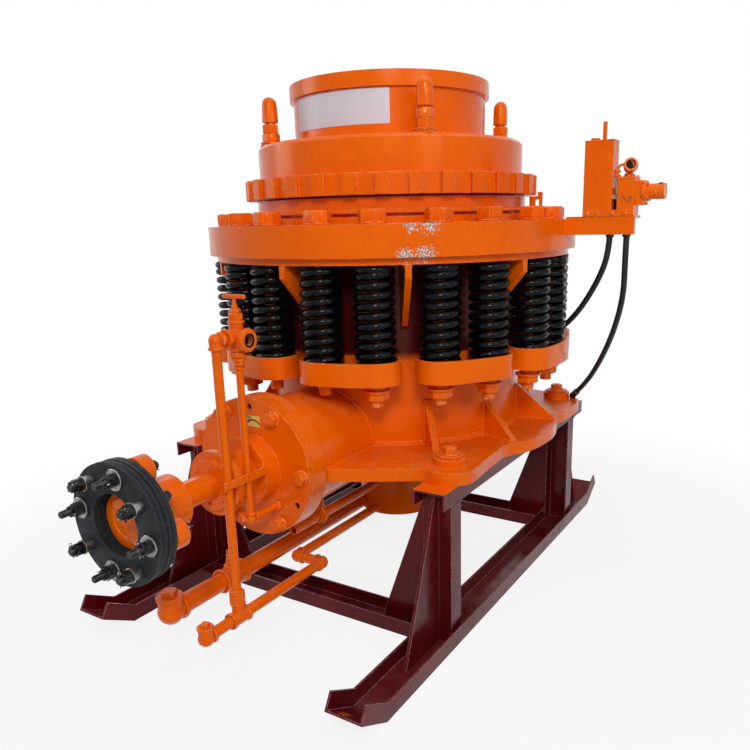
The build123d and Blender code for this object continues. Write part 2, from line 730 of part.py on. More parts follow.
# Bowl with its guide inside the ring, its liner and its four capped bolts
GUIDE_IN_R = BOWL_GUIDE_R - BOWL_WALL
bowl = turned(
    [
        (GUIDE_IN_R, RING_Z0 + 15),
        (BOWL_GUIDE_R, RING_Z0 + 15),
        (BOWL_GUIDE_R, CAP_Z0),
        (BOWL_R, CAP_Z0),
        (BOWL_R, BOWL_Z1 - 10),
        (BOWL_R - 10, BOWL_Z1),
        (THROAT_R, BOWL_Z1),
        (THROAT_R, BOWL_Z1 - 40),
        (GUIDE_IN_R, BOWL_Z1 - 110),
    ]
)
NODES["bowl"] = [bowl]
liner = turned(
    [
        (GUIDE_IN_R - SEAT_GAP, RING_Z0 + 15),
        (GUIDE_IN_R - SEAT_GAP, BOWL_Z1 - 110 - SEAT_GAP),
        (THROAT_R + 0.5, BOWL_Z1 - 40 - SEAT_GAP),
        (THROAT_R - 20, BOWL_Z1 - 40 - SEAT_GAP),
        (GUIDE_IN_R - LINER_T, RING_Z0 + 15),
    ]
)
NODES["bowl_liner"] = [liner]
bolts = []
for k in range(BOWL_BOLTS):
    x, y = polar(BOLT_CIRCLE_R, BOLT_PHASE + 360.0 / BOWL_BOLTS * k)
    z = BOWL_Z1 + SEAT_GAP
    bolt = cyl(40, z, z + 16, x, y) + hexa(54, z + 16, z + 46, x, y) + hexa(52, z + 46, z + 80, x, y, 12)
    top = z + 80 + CAP_NUT_H
    bolts.append(bolt + cyl(CAP_NUT_R, z + 80, top, x, y) + ball(CAP_NUT_R, x, y, top))
NODES["bowl_bolts"] = bolts

# Feed hopper with its rolled rim
hopper = tube(HOPPER_R, HOPPER_R - HOPPER_T, BOWL_Z1 + SEAT_GAP, HOPPER_Z1)
hopper = hopper + tube(RIM_R, HOPPER_R - 2, HOPPER_Z1 - RIM_H, HOPPER_Z1)
NODES["feed_hopper"] = [hopper]

# Mantle on the hub with its feed plate
MANTLE_R = GUIDE_IN_R - MANTLE_GAP
PLATE_Z1 = BOWL_Z1 - PLATE_DROP
mantle = turned(
    [
        (0, HUB_TOP + SEAT_GAP),
        (MANTLE_R * 0.8, HUB_TOP + 60),
        (MANTLE_R, RING_Z0 - 60),
        (MANTLE_R - 5, RING_Z0 - 20),
        (120, PLATE_Z1 - 165),
        (70, PLATE_Z1 - 130),
        (70, PLATE_Z1 - 40),
        (PLATE_R - 15, PLATE_Z1 - 30),
        (PLATE_R, PLATE_Z1),
        (0, PLATE_Z1),
    ]
)
NODES["mantle"] = [mantle + cyl(HUB_BORE_R - SEAT_GAP, HUB_TOP - MANTLE_STEM_L, HUB_TOP + 40)]

# Hydraulic unit on the ring: bracket, tank, valve block and pump
plate = box(RING_R - 45, HB_X1, HB_Y, HB_Y + HB_T, HB_Z0, HB_Z1)
plate = plate - cyl(RING_R + SEAT_GAP, HB_Z0 - 5, HB_Z1 + 5)
shelf = box(RING_R + 18, HB_X1, HB_Y, HB_Y + HB_DEPTH, HB_Z1 - 8, HB_Z1)
for x in (GLAND_A_X, GLAND_B_X):
    shelf = shelf + cyl(GLAND_R, HB_Z0 + 20, HB_Z1 - 4, x, HB_Y + GLAND_Y)
NODES["hydraulic_bracket"] = [plate + shelf]
TANK_MID = (TANK_X0 + TANK_X1) / 2
UNIT_Y = HB_Y + UNIT_DEPTH / 2
tank = box(TANK_X0, TANK_X1, HB_Y, HB_Y + UNIT_DEPTH, HB_Z1 + SEAT_GAP, TANK_Z1)
tank = tank + cyl(13, TANK_Z1, TANK_Z1 + 9, TANK_X0 + 24, UNIT_Y)
tank = tank + box(TANK_MID + 6, TANK_MID + 18, HB_Y + 12, HB_Y + 18, TANK_Z1, TANK_Z1 + 56)
NODES["hydraulic_tank"] = [tank]
BLOCK_MID = (BLOCK_X0 + BLOCK_X1) / 2
block = box(BLOCK_X0, BLOCK_X1, HB_Y, HB_Y + UNIT_DEPTH, HB_Z1 + SEAT_GAP, BLOCK_Z1)
block = block + cyl(10, BLOCK_Z1, BLOCK_Z1 + 20, BLOCK_MID, UNIT_Y)
block = block + ycyl(17, HB_Y + 4, HB_Y + UNIT_DEPTH - 4, BLOCK_MID + 4, BLOCK_Z1 + 34)
NODES["valve_block"] = [block]
pump = box(BLOCK_X1 + SEAT_GAP, BLOCK_X1 + 20, HB_Y + 4, HB_Y + UNIT_DEPTH - 4, PUMP_Z - 41, PUMP_Z + 35)
NODES["hydraulic_pump"] = [pump + xcyl(PUMP_R, BLOCK_X1 + 20, PUMP_X1, UNIT_Y, PUMP_Z)]

# Two hoses from the bracket's glands to nipples on the drum and on the base plate
NIP_A_DEG = 18.0
NIP_A_Z = 880.0
NIP_B_X = LUG_X + BOSS_R + 16
NIP_B_Y = LUG_Y + 6
NIP_R = 12.0
NIP_L = 22.0


def hose_path(points):
    """Straight runs joined by tangent arcs, each as large as its two runs allow."""
    vectors = [Vector(*p) for p in points]
    radii = []
    for a, b, c in zip(vectors, vectors[1:], vectors[2:]):
        turn = (b - a).get_angle(c - b)
        short = min((b - a).length, (c - b).length)
        radii.append(round(0.45 * short / math.tan(math.radians(turn / 2)), 1))
    return FilletPolyline(*vectors, radius=radii), radii


def hose(points):
    path, radii = hose_path(points)
    start = Vector(*points[0])
    direction = Vector(*points[1]) - start
    section = Plane(origin=start, z_dir=direction) * Circle(HOSE_R)
    solid = sweep(section, path=path)
    expected = math.pi * HOSE_R ** 2 * path.length
    print("hose radii", radii, "length", round(path.length, 1), "volume ratio", round(solid.volume / expected, 4))
    return solid


GLAND_Z = HB_Z0 + 20
nip_x, nip_y = polar(DRUM_R, NIP_A_DEG)
tip_x, tip_y = polar(DRUM_R + 40, NIP_A_DEG)
HOSE_A = [
    (GLAND_A_X, HB_Y + GLAND_Y, GLAND_Z),
    (GLAND_A_X, HB_Y + GLAND_Y, GLAND_Z - 80),
    (778.0, 82.0, 1103.0),
    (697.0, 140.0, 988.0),
    (607.0, 186.0, 905.0),
    (tip_x, tip_y, NIP_A_Z),
]
HOSE_B = [
    (GLAND_B_X, HB_Y + GLAND_Y, GLAND_Z),
    (GLAND_B_X, HB_Y + GLAND_Y, GLAND_Z - 105),
    (862.0, 105.0, 1046.0),
    (803.0, 212.0, 900.0),
    (728.0, 315.0, 769.0),
    (652.0, 411.0, 665.0),
    (NIP_B_X + 13, NIP_B_Y - 14, BASE_Z1 + 25),
]
NODES["hose_upper"] = [hose(HOSE_A)]
NODES["hose_lower"] = [hose(HOSE_B)]


def nipple(points, length):
    """Round end fitting that carries on from a hose's last run."""
    end = Vector(*points[-1])
    along = (end - Vector(*points[-2])).normalized()
    section = Plane(origin=end + along * SEAT_GAP, z_dir=along) * Circle(NIP_R)
    return extrude(section, amount=length, dir=along), end + along * length


drum_nipple, _ = nipple(HOSE_A, DRUM_T + 30)
drum_nipple = drum_nipple - cyl(DRUM_R + SEAT_GAP, NIP_A_Z - 90, NIP_A_Z + 60)
plate_nipple, elbow = nipple(HOSE_B, NIP_L)
plate_nipple = plate_nipple + ball(NIP_R + 2, elbow.X, elbow.Y, elbow.Z)
plate_nipple = plate_nipple + cyl(NIP_R - 1, BASE_Z1 + SEAT_GAP, elbow.Z, elbow.X, elbow.Y)
plate_nipple = plate_nipple - cyl(NIP_R * 3, BASE_Z1 - NIP_R, BASE_Z1 + SEAT_GAP, elbow.X, elbow.Y)
NODES["hose_nipples"] = [drum_nipple, plate_nipple]

# Oil riser from the low pipe to the valve
supply = cyl(R_THREE_QUARTER, LOW_Z, VALVE_Z, RISER_X, RISER_Y)
supply = supply + hexa(40, LOW_Z + 50, LOW_Z + 84, RISER_X, RISER_Y)
supply = supply + cyl(R_THREE_QUARTER + 5.5, LOW_Z, LOW_Z + 50, RISER_X, RISER_Y)
supply = supply + ball(R_THREE_QUARTER + 5.5, RISER_X, RISER_Y, VALVE_Z)
supply = supply + cyl(R_THREE_QUARTER + 4.5, VALVE_Z - 26, VALVE_Z, RISER_X, RISER_Y)
supply = supply + ycyl(R_THREE_QUARTER, RISER_Y, THIN_Y - 40, RISER_X, VALVE_Z)
supply = supply + ycyl(R_ONE, LOW_FRONT, LOW_TURN, RISER_X, LOW_Z)
supply = supply + ycyl(R_ONE + 5, RISER_Y - 32, RISER_Y + 32, RISER_X, LOW_Z)
supply = supply + ball(R_ONE + 7, RISER_X, LOW_FRONT, LOW_Z)
supply = supply + cyl(R_ONE + 4, LOW_Z, LOW_Z + 36, RISER_X, LOW_FRONT)
supply = supply + ball(R_ONE + 5, RISER_X, LOW_TURN, LOW_Z)
supply = supply + xcyl(R_ONE, LOW_X, RISER_X, LOW_TURN, LOW_Z)
supply = supply + ball(R_ONE + 5, LOW_X, LOW_TURN, LOW_Z)
supply = supply + ycyl(R_ONE, LOW_TURN, -HUB_R + 20, LOW_X, LOW_Z)
NODES["supply_pipe"] = [supply - cyl(HUB_R + SEAT_GAP, LOW_Z - 60, LOW_Z + 60)]

# Return pipe with a plugged elbow in front and a tee
ret = ycyl(R_TWO, RET_FRONT, -HUB_R + 60, RET_X, RET_Z)
ret = ret - cyl(HUB_R + SEAT_GAP, RET_Z - 60, RET_Z + 60)
ret = ret + ball(R_TWO + 9, RET_X, RET_FRONT, RET_Z) + cyl(R_TWO + 6, RET_Z, RET_Z + 52, RET_X, RET_FRONT)
ret = ret + ycyl(R_TWO + 6, RET_TEE_Y - 45, RET_TEE_Y + 45, RET_X, RET_Z)
NODES["return_pipe"] = [ret + cyl(12, RET_Z, RET_Z + 90, RET_X, RET_TEE_Y)]

# Open pipe from the hub towards the front with its collar and clamp
opened = ycyl(R_ONE, OPEN_FRONT, -HUB_R + 20, OPEN_X, OPEN_Z)
opened = opened + ycyl(R_ONE + 6, OPEN_FRONT + 130, OPEN_FRONT + 165, OPEN_X, OPEN_Z)
opened = opened + box(OPEN_X - 4, OPEN_X + 4, OPEN_FRONT + 140, OPEN_FRONT + 156, OPEN_Z, OPEN_Z + 34)
opened = opened - ycyl(R_ONE - OPEN_WALL, OPEN_FRONT - 1, -HUB_R - 30, OPEN_X, OPEN_Z)
NODES["open_pipe"] = [opened - cyl(HUB_R + SEAT_GAP, OPEN_Z - 60, OPEN_Z + 60)]

# Oil valve on the thin pipe, with its open port and its turning handle
STEM_TOP = VALVE_Z + 78
valve = cyl(VALVE_R, VALVE_Z - 40, VALVE_Z + 50, THIN_X, THIN_Y)
valve = valve + cyl(12, VALVE_Z + 50, STEM_TOP, THIN_X, THIN_Y)
valve = valve + ycyl(VALVE_R + 4, THIN_Y - 40 + SEAT_GAP, THIN_Y, THIN_X, VALVE_Z)
valve = valve + xcyl(PORT_R, THIN_X, THIN_X + 46, THIN_Y, VALVE_Z - 8)
valve = valve + cyl(R_HALF, THIN_Z, VALVE_Z - 30, THIN_X, THIN_Y) + ball(R_HALF + 5, THIN_X, THIN_Y, THIN_Z)
valve = valve + ycyl(R_HALF, THIN_Y, COVER_FACE - SEAT_GAP, THIN_X, THIN_Z)
NODES["oil_valve"] = [valve - xcyl(PORT_BORE, THIN_X + 14, THIN_X + 47, THIN_Y, VALVE_Z - 8)]
handle = cyl(5, STEM_TOP + SEAT_GAP, STEM_TOP + 28, THIN_X, THIN_Y)
NODES["valve_handle"] = [handle + xcyl(7, THIN_X - 40, THIN_X + 40, THIN_Y, STEM_TOP + 32)]

# Flat bar that holds both upright pipes off the cover's boss
BAR_X = max(RISER_X + R_THREE_QUARTER, THIN_X + R_HALF) + SEAT_GAP
bar = box(BAR_X, BAR_X + BAR_T, BAR_FRONT, STEP_FACE - SEAT_GAP, BAR_Z - BAR_H / 2, BAR_Z + BAR_H / 2)
foot = box(BAR_X - BAR_FOOT, BAR_X + BAR_T, STEP_FACE - SEAT_GAP - BAR_T, STEP_FACE - SEAT_GAP, BAR_Z - BAR_H / 2, BAR_Z + BAR_H / 2)
NODES["pipe_clamp"] = [bar + foot]

# Everything moves so that x = y = 0 is the middle of the footprint's box
LOW_END_Y = DISC_FRONT - PIN_FRONT_L
HIGH_END_Y = RUN_REAR + TIP_RUN
MOVE = Pos(-(PUMP_X1 - RING_R) / 2, -(LOW_END_Y + HIGH_END_Y) / 2, 0)
print("moved by", MOVE.position)

os.makedirs("parts", exist_ok=True)
for name, solids in NODES.items():
    moved = [MOVE * part for solid in solids for part in solid.solids()]
    shape = moved[0] if len(moved) == 1 else Compound(children=moved)
    bb = shape.bounding_box()
    print(name, len(moved), "solids", round(sum(s.volume for s in moved) / 1e6, 3), "l", bb.min, bb.max)
    export_step(shape, f"parts/{name}.step")
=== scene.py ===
"""Looks of a spring cone crusher on a welded skid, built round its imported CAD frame."""
import math

import bpy
import numpy as np
from bpy.props import FloatProperty, FloatVectorProperty, IntProperty, PointerProperty
from mathutils import Matrix, Vector


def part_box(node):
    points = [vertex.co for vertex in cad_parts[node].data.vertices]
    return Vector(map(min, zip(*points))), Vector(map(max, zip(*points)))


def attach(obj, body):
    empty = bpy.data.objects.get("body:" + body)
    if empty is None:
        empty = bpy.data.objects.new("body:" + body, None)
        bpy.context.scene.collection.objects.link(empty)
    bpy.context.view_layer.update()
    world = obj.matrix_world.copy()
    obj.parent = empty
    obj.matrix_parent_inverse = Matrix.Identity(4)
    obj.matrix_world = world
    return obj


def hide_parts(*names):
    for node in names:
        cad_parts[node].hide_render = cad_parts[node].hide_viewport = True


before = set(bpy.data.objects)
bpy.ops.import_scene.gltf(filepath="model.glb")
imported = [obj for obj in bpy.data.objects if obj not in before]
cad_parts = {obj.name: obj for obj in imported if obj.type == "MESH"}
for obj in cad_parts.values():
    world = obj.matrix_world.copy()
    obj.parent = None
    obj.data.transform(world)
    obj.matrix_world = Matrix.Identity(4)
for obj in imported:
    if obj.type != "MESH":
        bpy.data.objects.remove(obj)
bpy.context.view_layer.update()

bl_info = {
    "name": "Spring cone crusher finish",
    "version": (1, 0, 0),
    "blender": (4, 5, 0),
    "location": "View3D > Sidebar > Crusher",
    "description": "Springs, hoses, coupling, bolts, welds and paint of a spring cone crusher",
    "category": "Object",
}

HOPPER_LOW, HOPPER_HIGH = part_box("feed_hopper")
# The crusher's own axis and the height of its countershaft, in metres
AXIS = np.array(((HOPPER_LOW.x + HOPPER_HIGH.x) / 2, (HOPPER_LOW.y + HOPPER_HIGH.y) / 2, 0.0))
DISC_LOW, DISC_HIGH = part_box("coupling_disc")
SHAFT_Z = (DISC_LOW.z + DISC_HIGH.z) / 2
# Radius of the drum's wall, in metres
DRUM_WALL = 0.485
# Front face of the countershaft's cover, and the circles of its bolts and of the seal's screws, in metres
COVER_FACE, COVER_CIRCLE, SEAL_CIRCLE = 0.848, 0.194, 0.061
# The hub's nose stands this far in front of the hub, in metres
HUB_NOSE = 0.024
UP = np.array((0.0, 0.0, 1.0))
FRONT = np.array((0.0, -1.0, 0.0))
RIGHT = np.array((1.0, 0.0, 0.0))


def spot(x, y, z):
    """A point given in millimetres about the crusher's axis, as metres in the frame."""
    return AXIS + np.array((x, y, z)) / 1000.0


# Places in millimetres about the crusher's axis
LUG_X, LUG_Y, LUG_TOP = 502, 492, 599
POST_X, BARREL_HALF, DRUM_EDGE = 514, 181, 485.5
RISER_X, RISER_Y, RISER_Z = 92, -1050, 200
RETURN_X, RETURN_TEE_Y, RETURN_Z = -95, -885, 210
OPEN_X, OPEN_CLAMP_Y, OPEN_Z = 30, -568, 330
VALVE_X, VALVE_Y, VALVE_Z, VALVE_ELBOW_Z = 95, -972, 1022, 482
PUMP_X, PUMP_Y, PUMP_Z = 926, 30, 1393
FITTING_X, FITTING_Y, BLOCK_TOP = 845, 14, 1440
# Angle in degrees, reach and rise of the feet ribs on the right, mirrored on the left, and of the rear one
SIDE_RIBS = ((-45.5, 110, 158), (-17.5, 137, 120), (14, 150, 130), (45.5, 110, 158))
REAR_RIB = (90, 75, 130)
# Chipped paint on the ring: a place and how far the chips reach, in metres
RING_CHIPS = (
    (410, -548, 1315, 0.06), (452, -514, 1315, 0.07), (394, -560, 1217, 0.06), (440, -525, 1217, 0.075),
)


def round_shaft(angle):
    """Unit vector square to the countershaft, at an angle in radians from the right."""
    return np.array((math.cos(angle), 0, math.sin(angle)))


def linear(red, green, blue):
    """The linear colour of an sRGB one from 0 to 255: c/12.92 or ((c+0.055)/1.055)^2.4."""
    c = np.array((red, green, blue)) / 255.0
    return tuple(float(v) for v in np.where(c <= 0.04045, c / 12.92, ((c + 0.055) / 1.055) ** 2.4))


# Surfaces worked out as grids of points


def grid_faces(rows, cols, wrap_rows=False):
    """Quads from row i to i+1 and from column j to j+1, where the last column meets the first."""
    i = np.arange(rows if wrap_rows else rows - 1)[:, None]
    j = np.arange(cols)[None, :]
    after = (j + 1) % cols
    above = (i + 1) % rows
    return np.stack(
        (i * cols + j, i * cols + after, above * cols + after, above * cols + j), -1,
    ).reshape(-1, 4)


def surface(points, wrap_rows=False, paint=0):
    """A grid of (rows, columns, 3) points as one part, with flat ends where its rows don't wrap."""
    rows, cols = points.shape[:2]
    ends = [] if wrap_rows else [list(range(cols))[::-1], list(range((rows - 1) * cols, rows * cols))]
    return points.reshape(-1, 3), grid_faces(rows, cols, wrap_rows), ends, paint


def cross_axes(axis):
    """Two unit vectors square to axis and to each other, so that first x second = axis."""
    axis = np.asarray(axis, float) / np.linalg.norm(axis)
    side = RIGHT if abs(axis[2]) > 0.9 or abs(axis[1]) > 0.9 else UP
    first = np.cross(side, axis)
    first = first / np.linalg.norm(first)
    return first, np.cross(axis, first), axis


def revolved(profile, origin, axis=UP, cols=40, wrap=False, paint=0, turn=0.0, ripple=None):
    """Point = origin + h axis + r (cos a e1 + sin a e2) for each (r, h) of the profile."""
    profile = np.asarray(profile, float) / 1000.0
    first, second, axis = cross_axes(axis)
    a = np.linspace(0, 2 * np.pi, cols, endpoint=False) + math.radians(turn)
    radius = profile[:, :1] * np.ones(cols)
    if ripple is not None:
        radius = radius * ripple(profile, a)
    ring = np.cos(a)[None, :, None] * first + np.sin(a)[None, :, None] * second
    points = np.asarray(origin) + radius[:, :, None] * ring + profile[:, 1, None, None] * axis
    return surface(points, wrap, paint)


def hexagonal(profile, across, origin, axis=UP, turn=0.0, cols=60, sides=6):
    """As revolved, with r = min(profile's r, polygon's), so that a cone cuts the corners round."""
    profile = np.asarray(profile, float)
    half = across / 2.0

    def cornered(rows, a):
        fold = (a - math.radians(turn) + np.pi / sides) % (2 * np.pi / sides) - np.pi / sides
        flat = half / np.cos(fold)
        return np.minimum(flat[None, :], profile[:, :1]) / np.maximum(profile[:, :1], 1e-9)

    return revolved(profile, origin, axis, cols, turn=turn, ripple=cornered)


def plate(outline, origin, across, upward, thick, cut=0.8, paint=0):
    """Point = origin + u across + v upward + t normal, for an outline drawn in at both faces."""
    outline = np.asarray(outline, float)
    inward = outline.mean(0) - outline
    inward = inward / np.linalg.norm(inward, axis=1, keepdims=True)
    across, upward = np.asarray(across, float), np.asarray(upward, float)
    normal = np.cross(across, upward)
    rows = []
    for t, back in ((0.0, cut), (cut, 0.0), (thick - cut, 0.0), (thick, cut)):
        flat = outline + inward * back
        lifted = flat[:, :1] * across + flat[:, 1:] * upward + t * normal
        rows.append(np.asarray(origin) + lifted / 1000.0)
    return surface(np.array(rows), False, paint)


def band(origin, axis, pipe, rise=5.0, width=9.0, cols=32):
    """Bead round the mouth of a cast fitting: a ring out from the pipe's radius by rise."""
    low, high, out = -width / 2, width / 2, pipe + rise
    rows = [(pipe - 1, low), (out - 2, low), (out - 0.6, low + 0.8), (out, low + 2.4), (out, high - 2.4)]
    rows += [(out - 0.6, high - 0.8), (out - 2, high), (pipe - 1, high)]
    return revolved(rows, origin, axis, cols, True)


def nut_profile(across, height, top=1.0, foot=0.4, dome=0.0):
    """Side of a nut or bolt head: cones that meet the hexagon's corners at both ends, and a low dome."""
    corner = across / 2 / math.cos(math.pi / 6)
    flat = across / 2
    cut = (corner - flat) * 0.62
    rows = [(flat * 0.93, 0.0), (flat * 0.99, 0.0), (corner, cut * foot), (corner, height - cut * top)]
    rows += [(flat * 0.97, height), (flat * 0.6, height + dome * 0.7), (1.0, height + dome)]
    return rows


def nut(across, height, origin, axis, turn, top=0.8, foot=0.8, dome=0.0, cols=60):
    """Hexagonal nut or bolt head, by its width across flats and its height."""
    return hexagonal(nut_profile(across, height, top, foot, dome), across, origin, axis, turn, cols)


def threaded(radius, h0, h1, origin, axis, pitch, depth, cols=20, tip=2.0):
    """Screw thread: r = radius - depth |2 frac(h/pitch - a/2pi) - 1|, with a blunt cone at the tip."""
    rows = max(8, int((h1 - h0) / pitch * 5))
    h = np.linspace(h0, h1, rows)
    a = np.linspace(0, 2 * np.pi, cols, endpoint=False)
    wave = np.abs(2 * ((h[:, None] / pitch - a[None, :] / (2 * np.pi)) % 1.0) - 1)
    r = radius - depth * wave
    r = np.minimum(r, (radius - tip) + (h1 - h[:, None]))
    first, second, axis = cross_axes(axis)
    ring = np.cos(a)[None, :, None] * first + np.sin(a)[None, :, None] * second
    points = np.asarray(origin) + (r / 1000.0)[:, :, None] * ring + (h / 1000.0)[:, None, None] * axis
    return surface(points)


def swept(path, up, radius, cols=10, wrap=False, paint=0):
    """Point = path + r (cos a e1 + sin a e2), with e2 the part of up square to the path."""
    path = np.asarray(path, float)
    if wrap:
        tangent = np.roll(path, -1, 0) - np.roll(path, 1, 0)
    else:
        tangent = np.gradient(path, axis=0)
    tangent = tangent / np.linalg.norm(tangent, axis=1, keepdims=True)
    up = np.asarray(up, float) * np.ones_like(path)
    second = up - (up * tangent).sum(1, keepdims=True) * tangent
    second = second / np.linalg.norm(second, axis=1, keepdims=True)
    first = np.cross(second, tangent)
    a = np.linspace(0, 2 * np.pi, cols, endpoint=False)
    r = (np.asarray(radius, float) / 1000.0) * np.ones(len(path))
    ring = np.cos(a)[None, :, None] * first[:, None, :] + np.sin(a)[None, :, None] * second[:, None, :]
    return surface(path[:, None, :] + r[:, None, None] * ring, wrap, paint)


def spread(start, end, step=0.003):
    """Points along the straight line between two points, a step apart."""
    start, end = np.asarray(start, float), np.asarray(end, float)
    count = max(3, int(np.linalg.norm(end - start) / step) + 1)
    return start + np.linspace(0, 1, count)[:, None] * (end - start)


def bead(path, up, size, seed=0.0, wrap=False):
    """Weld bead of radius size (1 + 0.1 cos(2 pi s/5) + 0.09 sin(s/17) + 0.06 sin(s/7.3))."""
    path = np.asarray(path, float)
    s = np.concatenate(([0.0], np.cumsum(np.linalg.norm(np.diff(path, axis=0), axis=1)))) * 1000 + seed * 31
    radius = size * (
        1 + 0.1 * np.cos(2 * np.pi * s / 5) + 0.09 * np.sin(s / 17 + seed) + 0.06 * np.sin(s / 7.3)
    )
    return swept(path, up, radius, 8, wrap)


def circle(radius, height, step):
    """Points round the crusher's axis, a step of some millimetres apart, as metres in the frame."""
    count = int(2 * np.pi * radius / step)
    a = np.radians(np.linspace(0, 360, count, endpoint=False))
    return np.stack((radius * np.cos(a), radius * np.sin(a), np.full(count, height)), -1) / 1000.0 + AXIS


def piece(name, parts, materials, body, crease=32.0):
    """One object from its parts, shaded smooth up to the crease angle, riding on its body."""
    starts = np.cumsum([0] + [len(p[0]) for p in parts])
    points = np.concatenate([p[0] for p in parts])
    faces, paints = [], []
    for start, (_, quads, ends, paint) in zip(starts, parts):
        faces += (quads + start).tolist()
        faces += [[int(start) + k for k in end] for end in ends]
        paints += [paint] * (len(quads) + len(ends))
    mesh = bpy.data.meshes.new(name)
    mesh.from_pydata(points.tolist(), [], faces)
    mesh.polygons.foreach_set("material_index", paints)
    mesh.polygons.foreach_set("use_smooth", [True] * len(faces))
    mesh.set_sharp_from_angle(angle=math.radians(crease))
    mesh.update()
    obj = bpy.data.objects.new(name, mesh)
    bpy.context.scene.collection.objects.link(obj)
    for material in materials:
        mesh.materials.append(bpy.data.materials[material])
    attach(obj, body)
    return obj


def painted(name, parts, body="frame", crease=32.0):
    """A piece in the machine's orange paint."""
    return piece(name, parts, ["orange gloss paint"], body, crease)


# Sizes and colours that a user would change


class CrusherSprings(bpy.types.PropertyGroup):
    """Sizes of the release springs and of the bolts through them."""

    pitch_radius: FloatProperty(
        name="Pitch radius", description="From the crusher's axis to each spring", default=0.605,
        unit="LENGTH",
    )
    pair_half: FloatProperty(
        name="Half pair angle", description="Half the angle between a pair's springs",
        default=math.radians(8.3), subtype="ANGLE",
    )
    first_pair: FloatProperty(
        name="First pair", description="Angle of the first pair", default=math.radians(-72.0),
        subtype="ANGLE",
    )
    pairs: IntProperty(name="Pairs", description="Number of spring pairs", default=10)
    wire: FloatProperty(
        name="Wire", description="Diameter of the spring wire", default=0.0262, unit="LENGTH",
    )
    outer_radius: FloatProperty(
        name="Outer radius", description="Outer radius of a spring", default=0.0672, unit="LENGTH",
    )
    foot: FloatProperty(
        name="Foot", description="Height of the springs' lower ends", default=0.844, unit="LENGTH",
    )
    head: FloatProperty(
        name="Head", description="Height of the springs' upper ends", default=1.193, unit="LENGTH",
    )
    coils: FloatProperty(name="Coils", description="Turns of one spring", default=10.6)


class CrusherBolts(bpy.types.PropertyGroup):
    """Sizes and places of the bolts of ring and bowl."""

    ring_top: FloatProperty(
        name="Ring top", description="Height of the ring's top face", default=1.314, unit="LENGTH",
    )
    tray_foot: FloatProperty(
        name="Tray foot", description="Height of the spring trays' undersides", default=0.822,
        unit="LENGTH",
    )
    head_across: FloatProperty(
        name="Head", description="Across flats of the heads on the ring", default=0.078, unit="LENGTH",
    )
    bowl_circle: FloatProperty(
        name="Bowl circle", description="Radius of the bowl bolts' circle", default=0.44, unit="LENGTH",
    )
    bowl_phase: FloatProperty(
        name="Bowl phase", description="Angle of the first bowl bolt", default=math.radians(-43.3),
        subtype="ANGLE",
    )
    bowl_top: FloatProperty(
        name="Bowl top", description="Height of the bowl's top face", default=1.586, unit="LENGTH",
    )


class CrusherCoupling(bpy.types.PropertyGroup):
    """Sizes of the laminated disc coupling."""

    disc_radius: FloatProperty(
        name="Disc radius", description="Outer radius of the rubber disc", default=0.167, unit="LENGTH",
    )
    disc_hole: FloatProperty(
        name="Disc hole", description="Radius of the disc's hole", default=0.085, unit="LENGTH",
    )
    layers: IntProperty(name="Layers", description="Number of belt layers in the disc", default=4)
    pin_circle: FloatProperty(
        name="Pin circle", description="Radius of the circle of pins", default=0.131, unit="LENGTH",
    )
    pin_phase: FloatProperty(
        name="Pin phase", description="Angle of the first pin", default=math.radians(-11.0),
        subtype="ANGLE",
    )


class CrusherPaint(bpy.types.PropertyGroup):
    """Colours of the finishes, linear."""

    orange: FloatVectorProperty(
        name="Orange", description="Gloss paint of the machine", subtype="COLOR",
        default=linear(232, 98, 0),
    )
    orange_thin: FloatVectorProperty(
        name="Thin orange", description="The same paint where it is thin", subtype="COLOR",
        default=linear(208, 78, 0),
    )
    maroon: FloatVectorProperty(
        name="Maroon", description="Oxide red paint of the skid", subtype="COLOR",
        default=linear(97, 17, 26),
    )
    maroon_thin: FloatVectorProperty(
        name="Thin maroon", description="The same paint where it is thin", subtype="COLOR",
        default=linear(68, 9, 17),
    )
    black: FloatVectorProperty(
        name="Black", description="Enamel of the springs", subtype="COLOR", default=linear(7, 7, 9),
    )
    rubber: FloatVectorProperty(
        name="Rubber", description="Rubber of the disc", subtype="COLOR", default=linear(40, 42, 45),
    )


class CrusherStage(bpy.types.PropertyGroup):
    """Floor, light and camera."""

    floor_shade: FloatProperty(
        name="Floor shade", description="Grey value of the floor", default=0.8, min=0.0, max=1.0,
        subtype="FACTOR",
    )
    lens: FloatProperty(
        name="Lens", description="Focal length in millimetres on a 36 mm sensor", default=34.455,
    )
    floor_glow: FloatProperty(
        name="Floor glow", description="Share of plain white in the floor near the machine", default=0.84,
        min=0.0, max=1.0, subtype="FACTOR",
    )
    world: FloatProperty(
        name="World", description="Strength of the soft light from all round", default=0.26,
    )
    key_power: FloatProperty(name="Key light", description="Power of the main lamp in watts", default=106.0)
    top_power: FloatProperty(name="Top light", description="Power of the lamp above in watts", default=48.0)
    fill_power: FloatProperty(
        name="Fill light", description="Power of the side lamps in watts", default=31.0,
    )


# Shared effects as node groups: they put out colours, masks and normals only


def effect_group(name, inputs, outputs):
    """An empty node group with those sockets, its input node and its output node."""
    group = bpy.data.node_groups.new(name, "ShaderNodeTree")
    for label, kind, value in inputs:
        socket = group.interface.new_socket(name=label, in_out="INPUT", socket_type=kind)
        socket.default_value = value
    for label, kind in outputs:
        group.interface.new_socket(name=label, in_out="OUTPUT", socket_type=kind)
    return group, group.nodes.new("NodeGroupInput"), group.nodes.new("NodeGroupOutput")


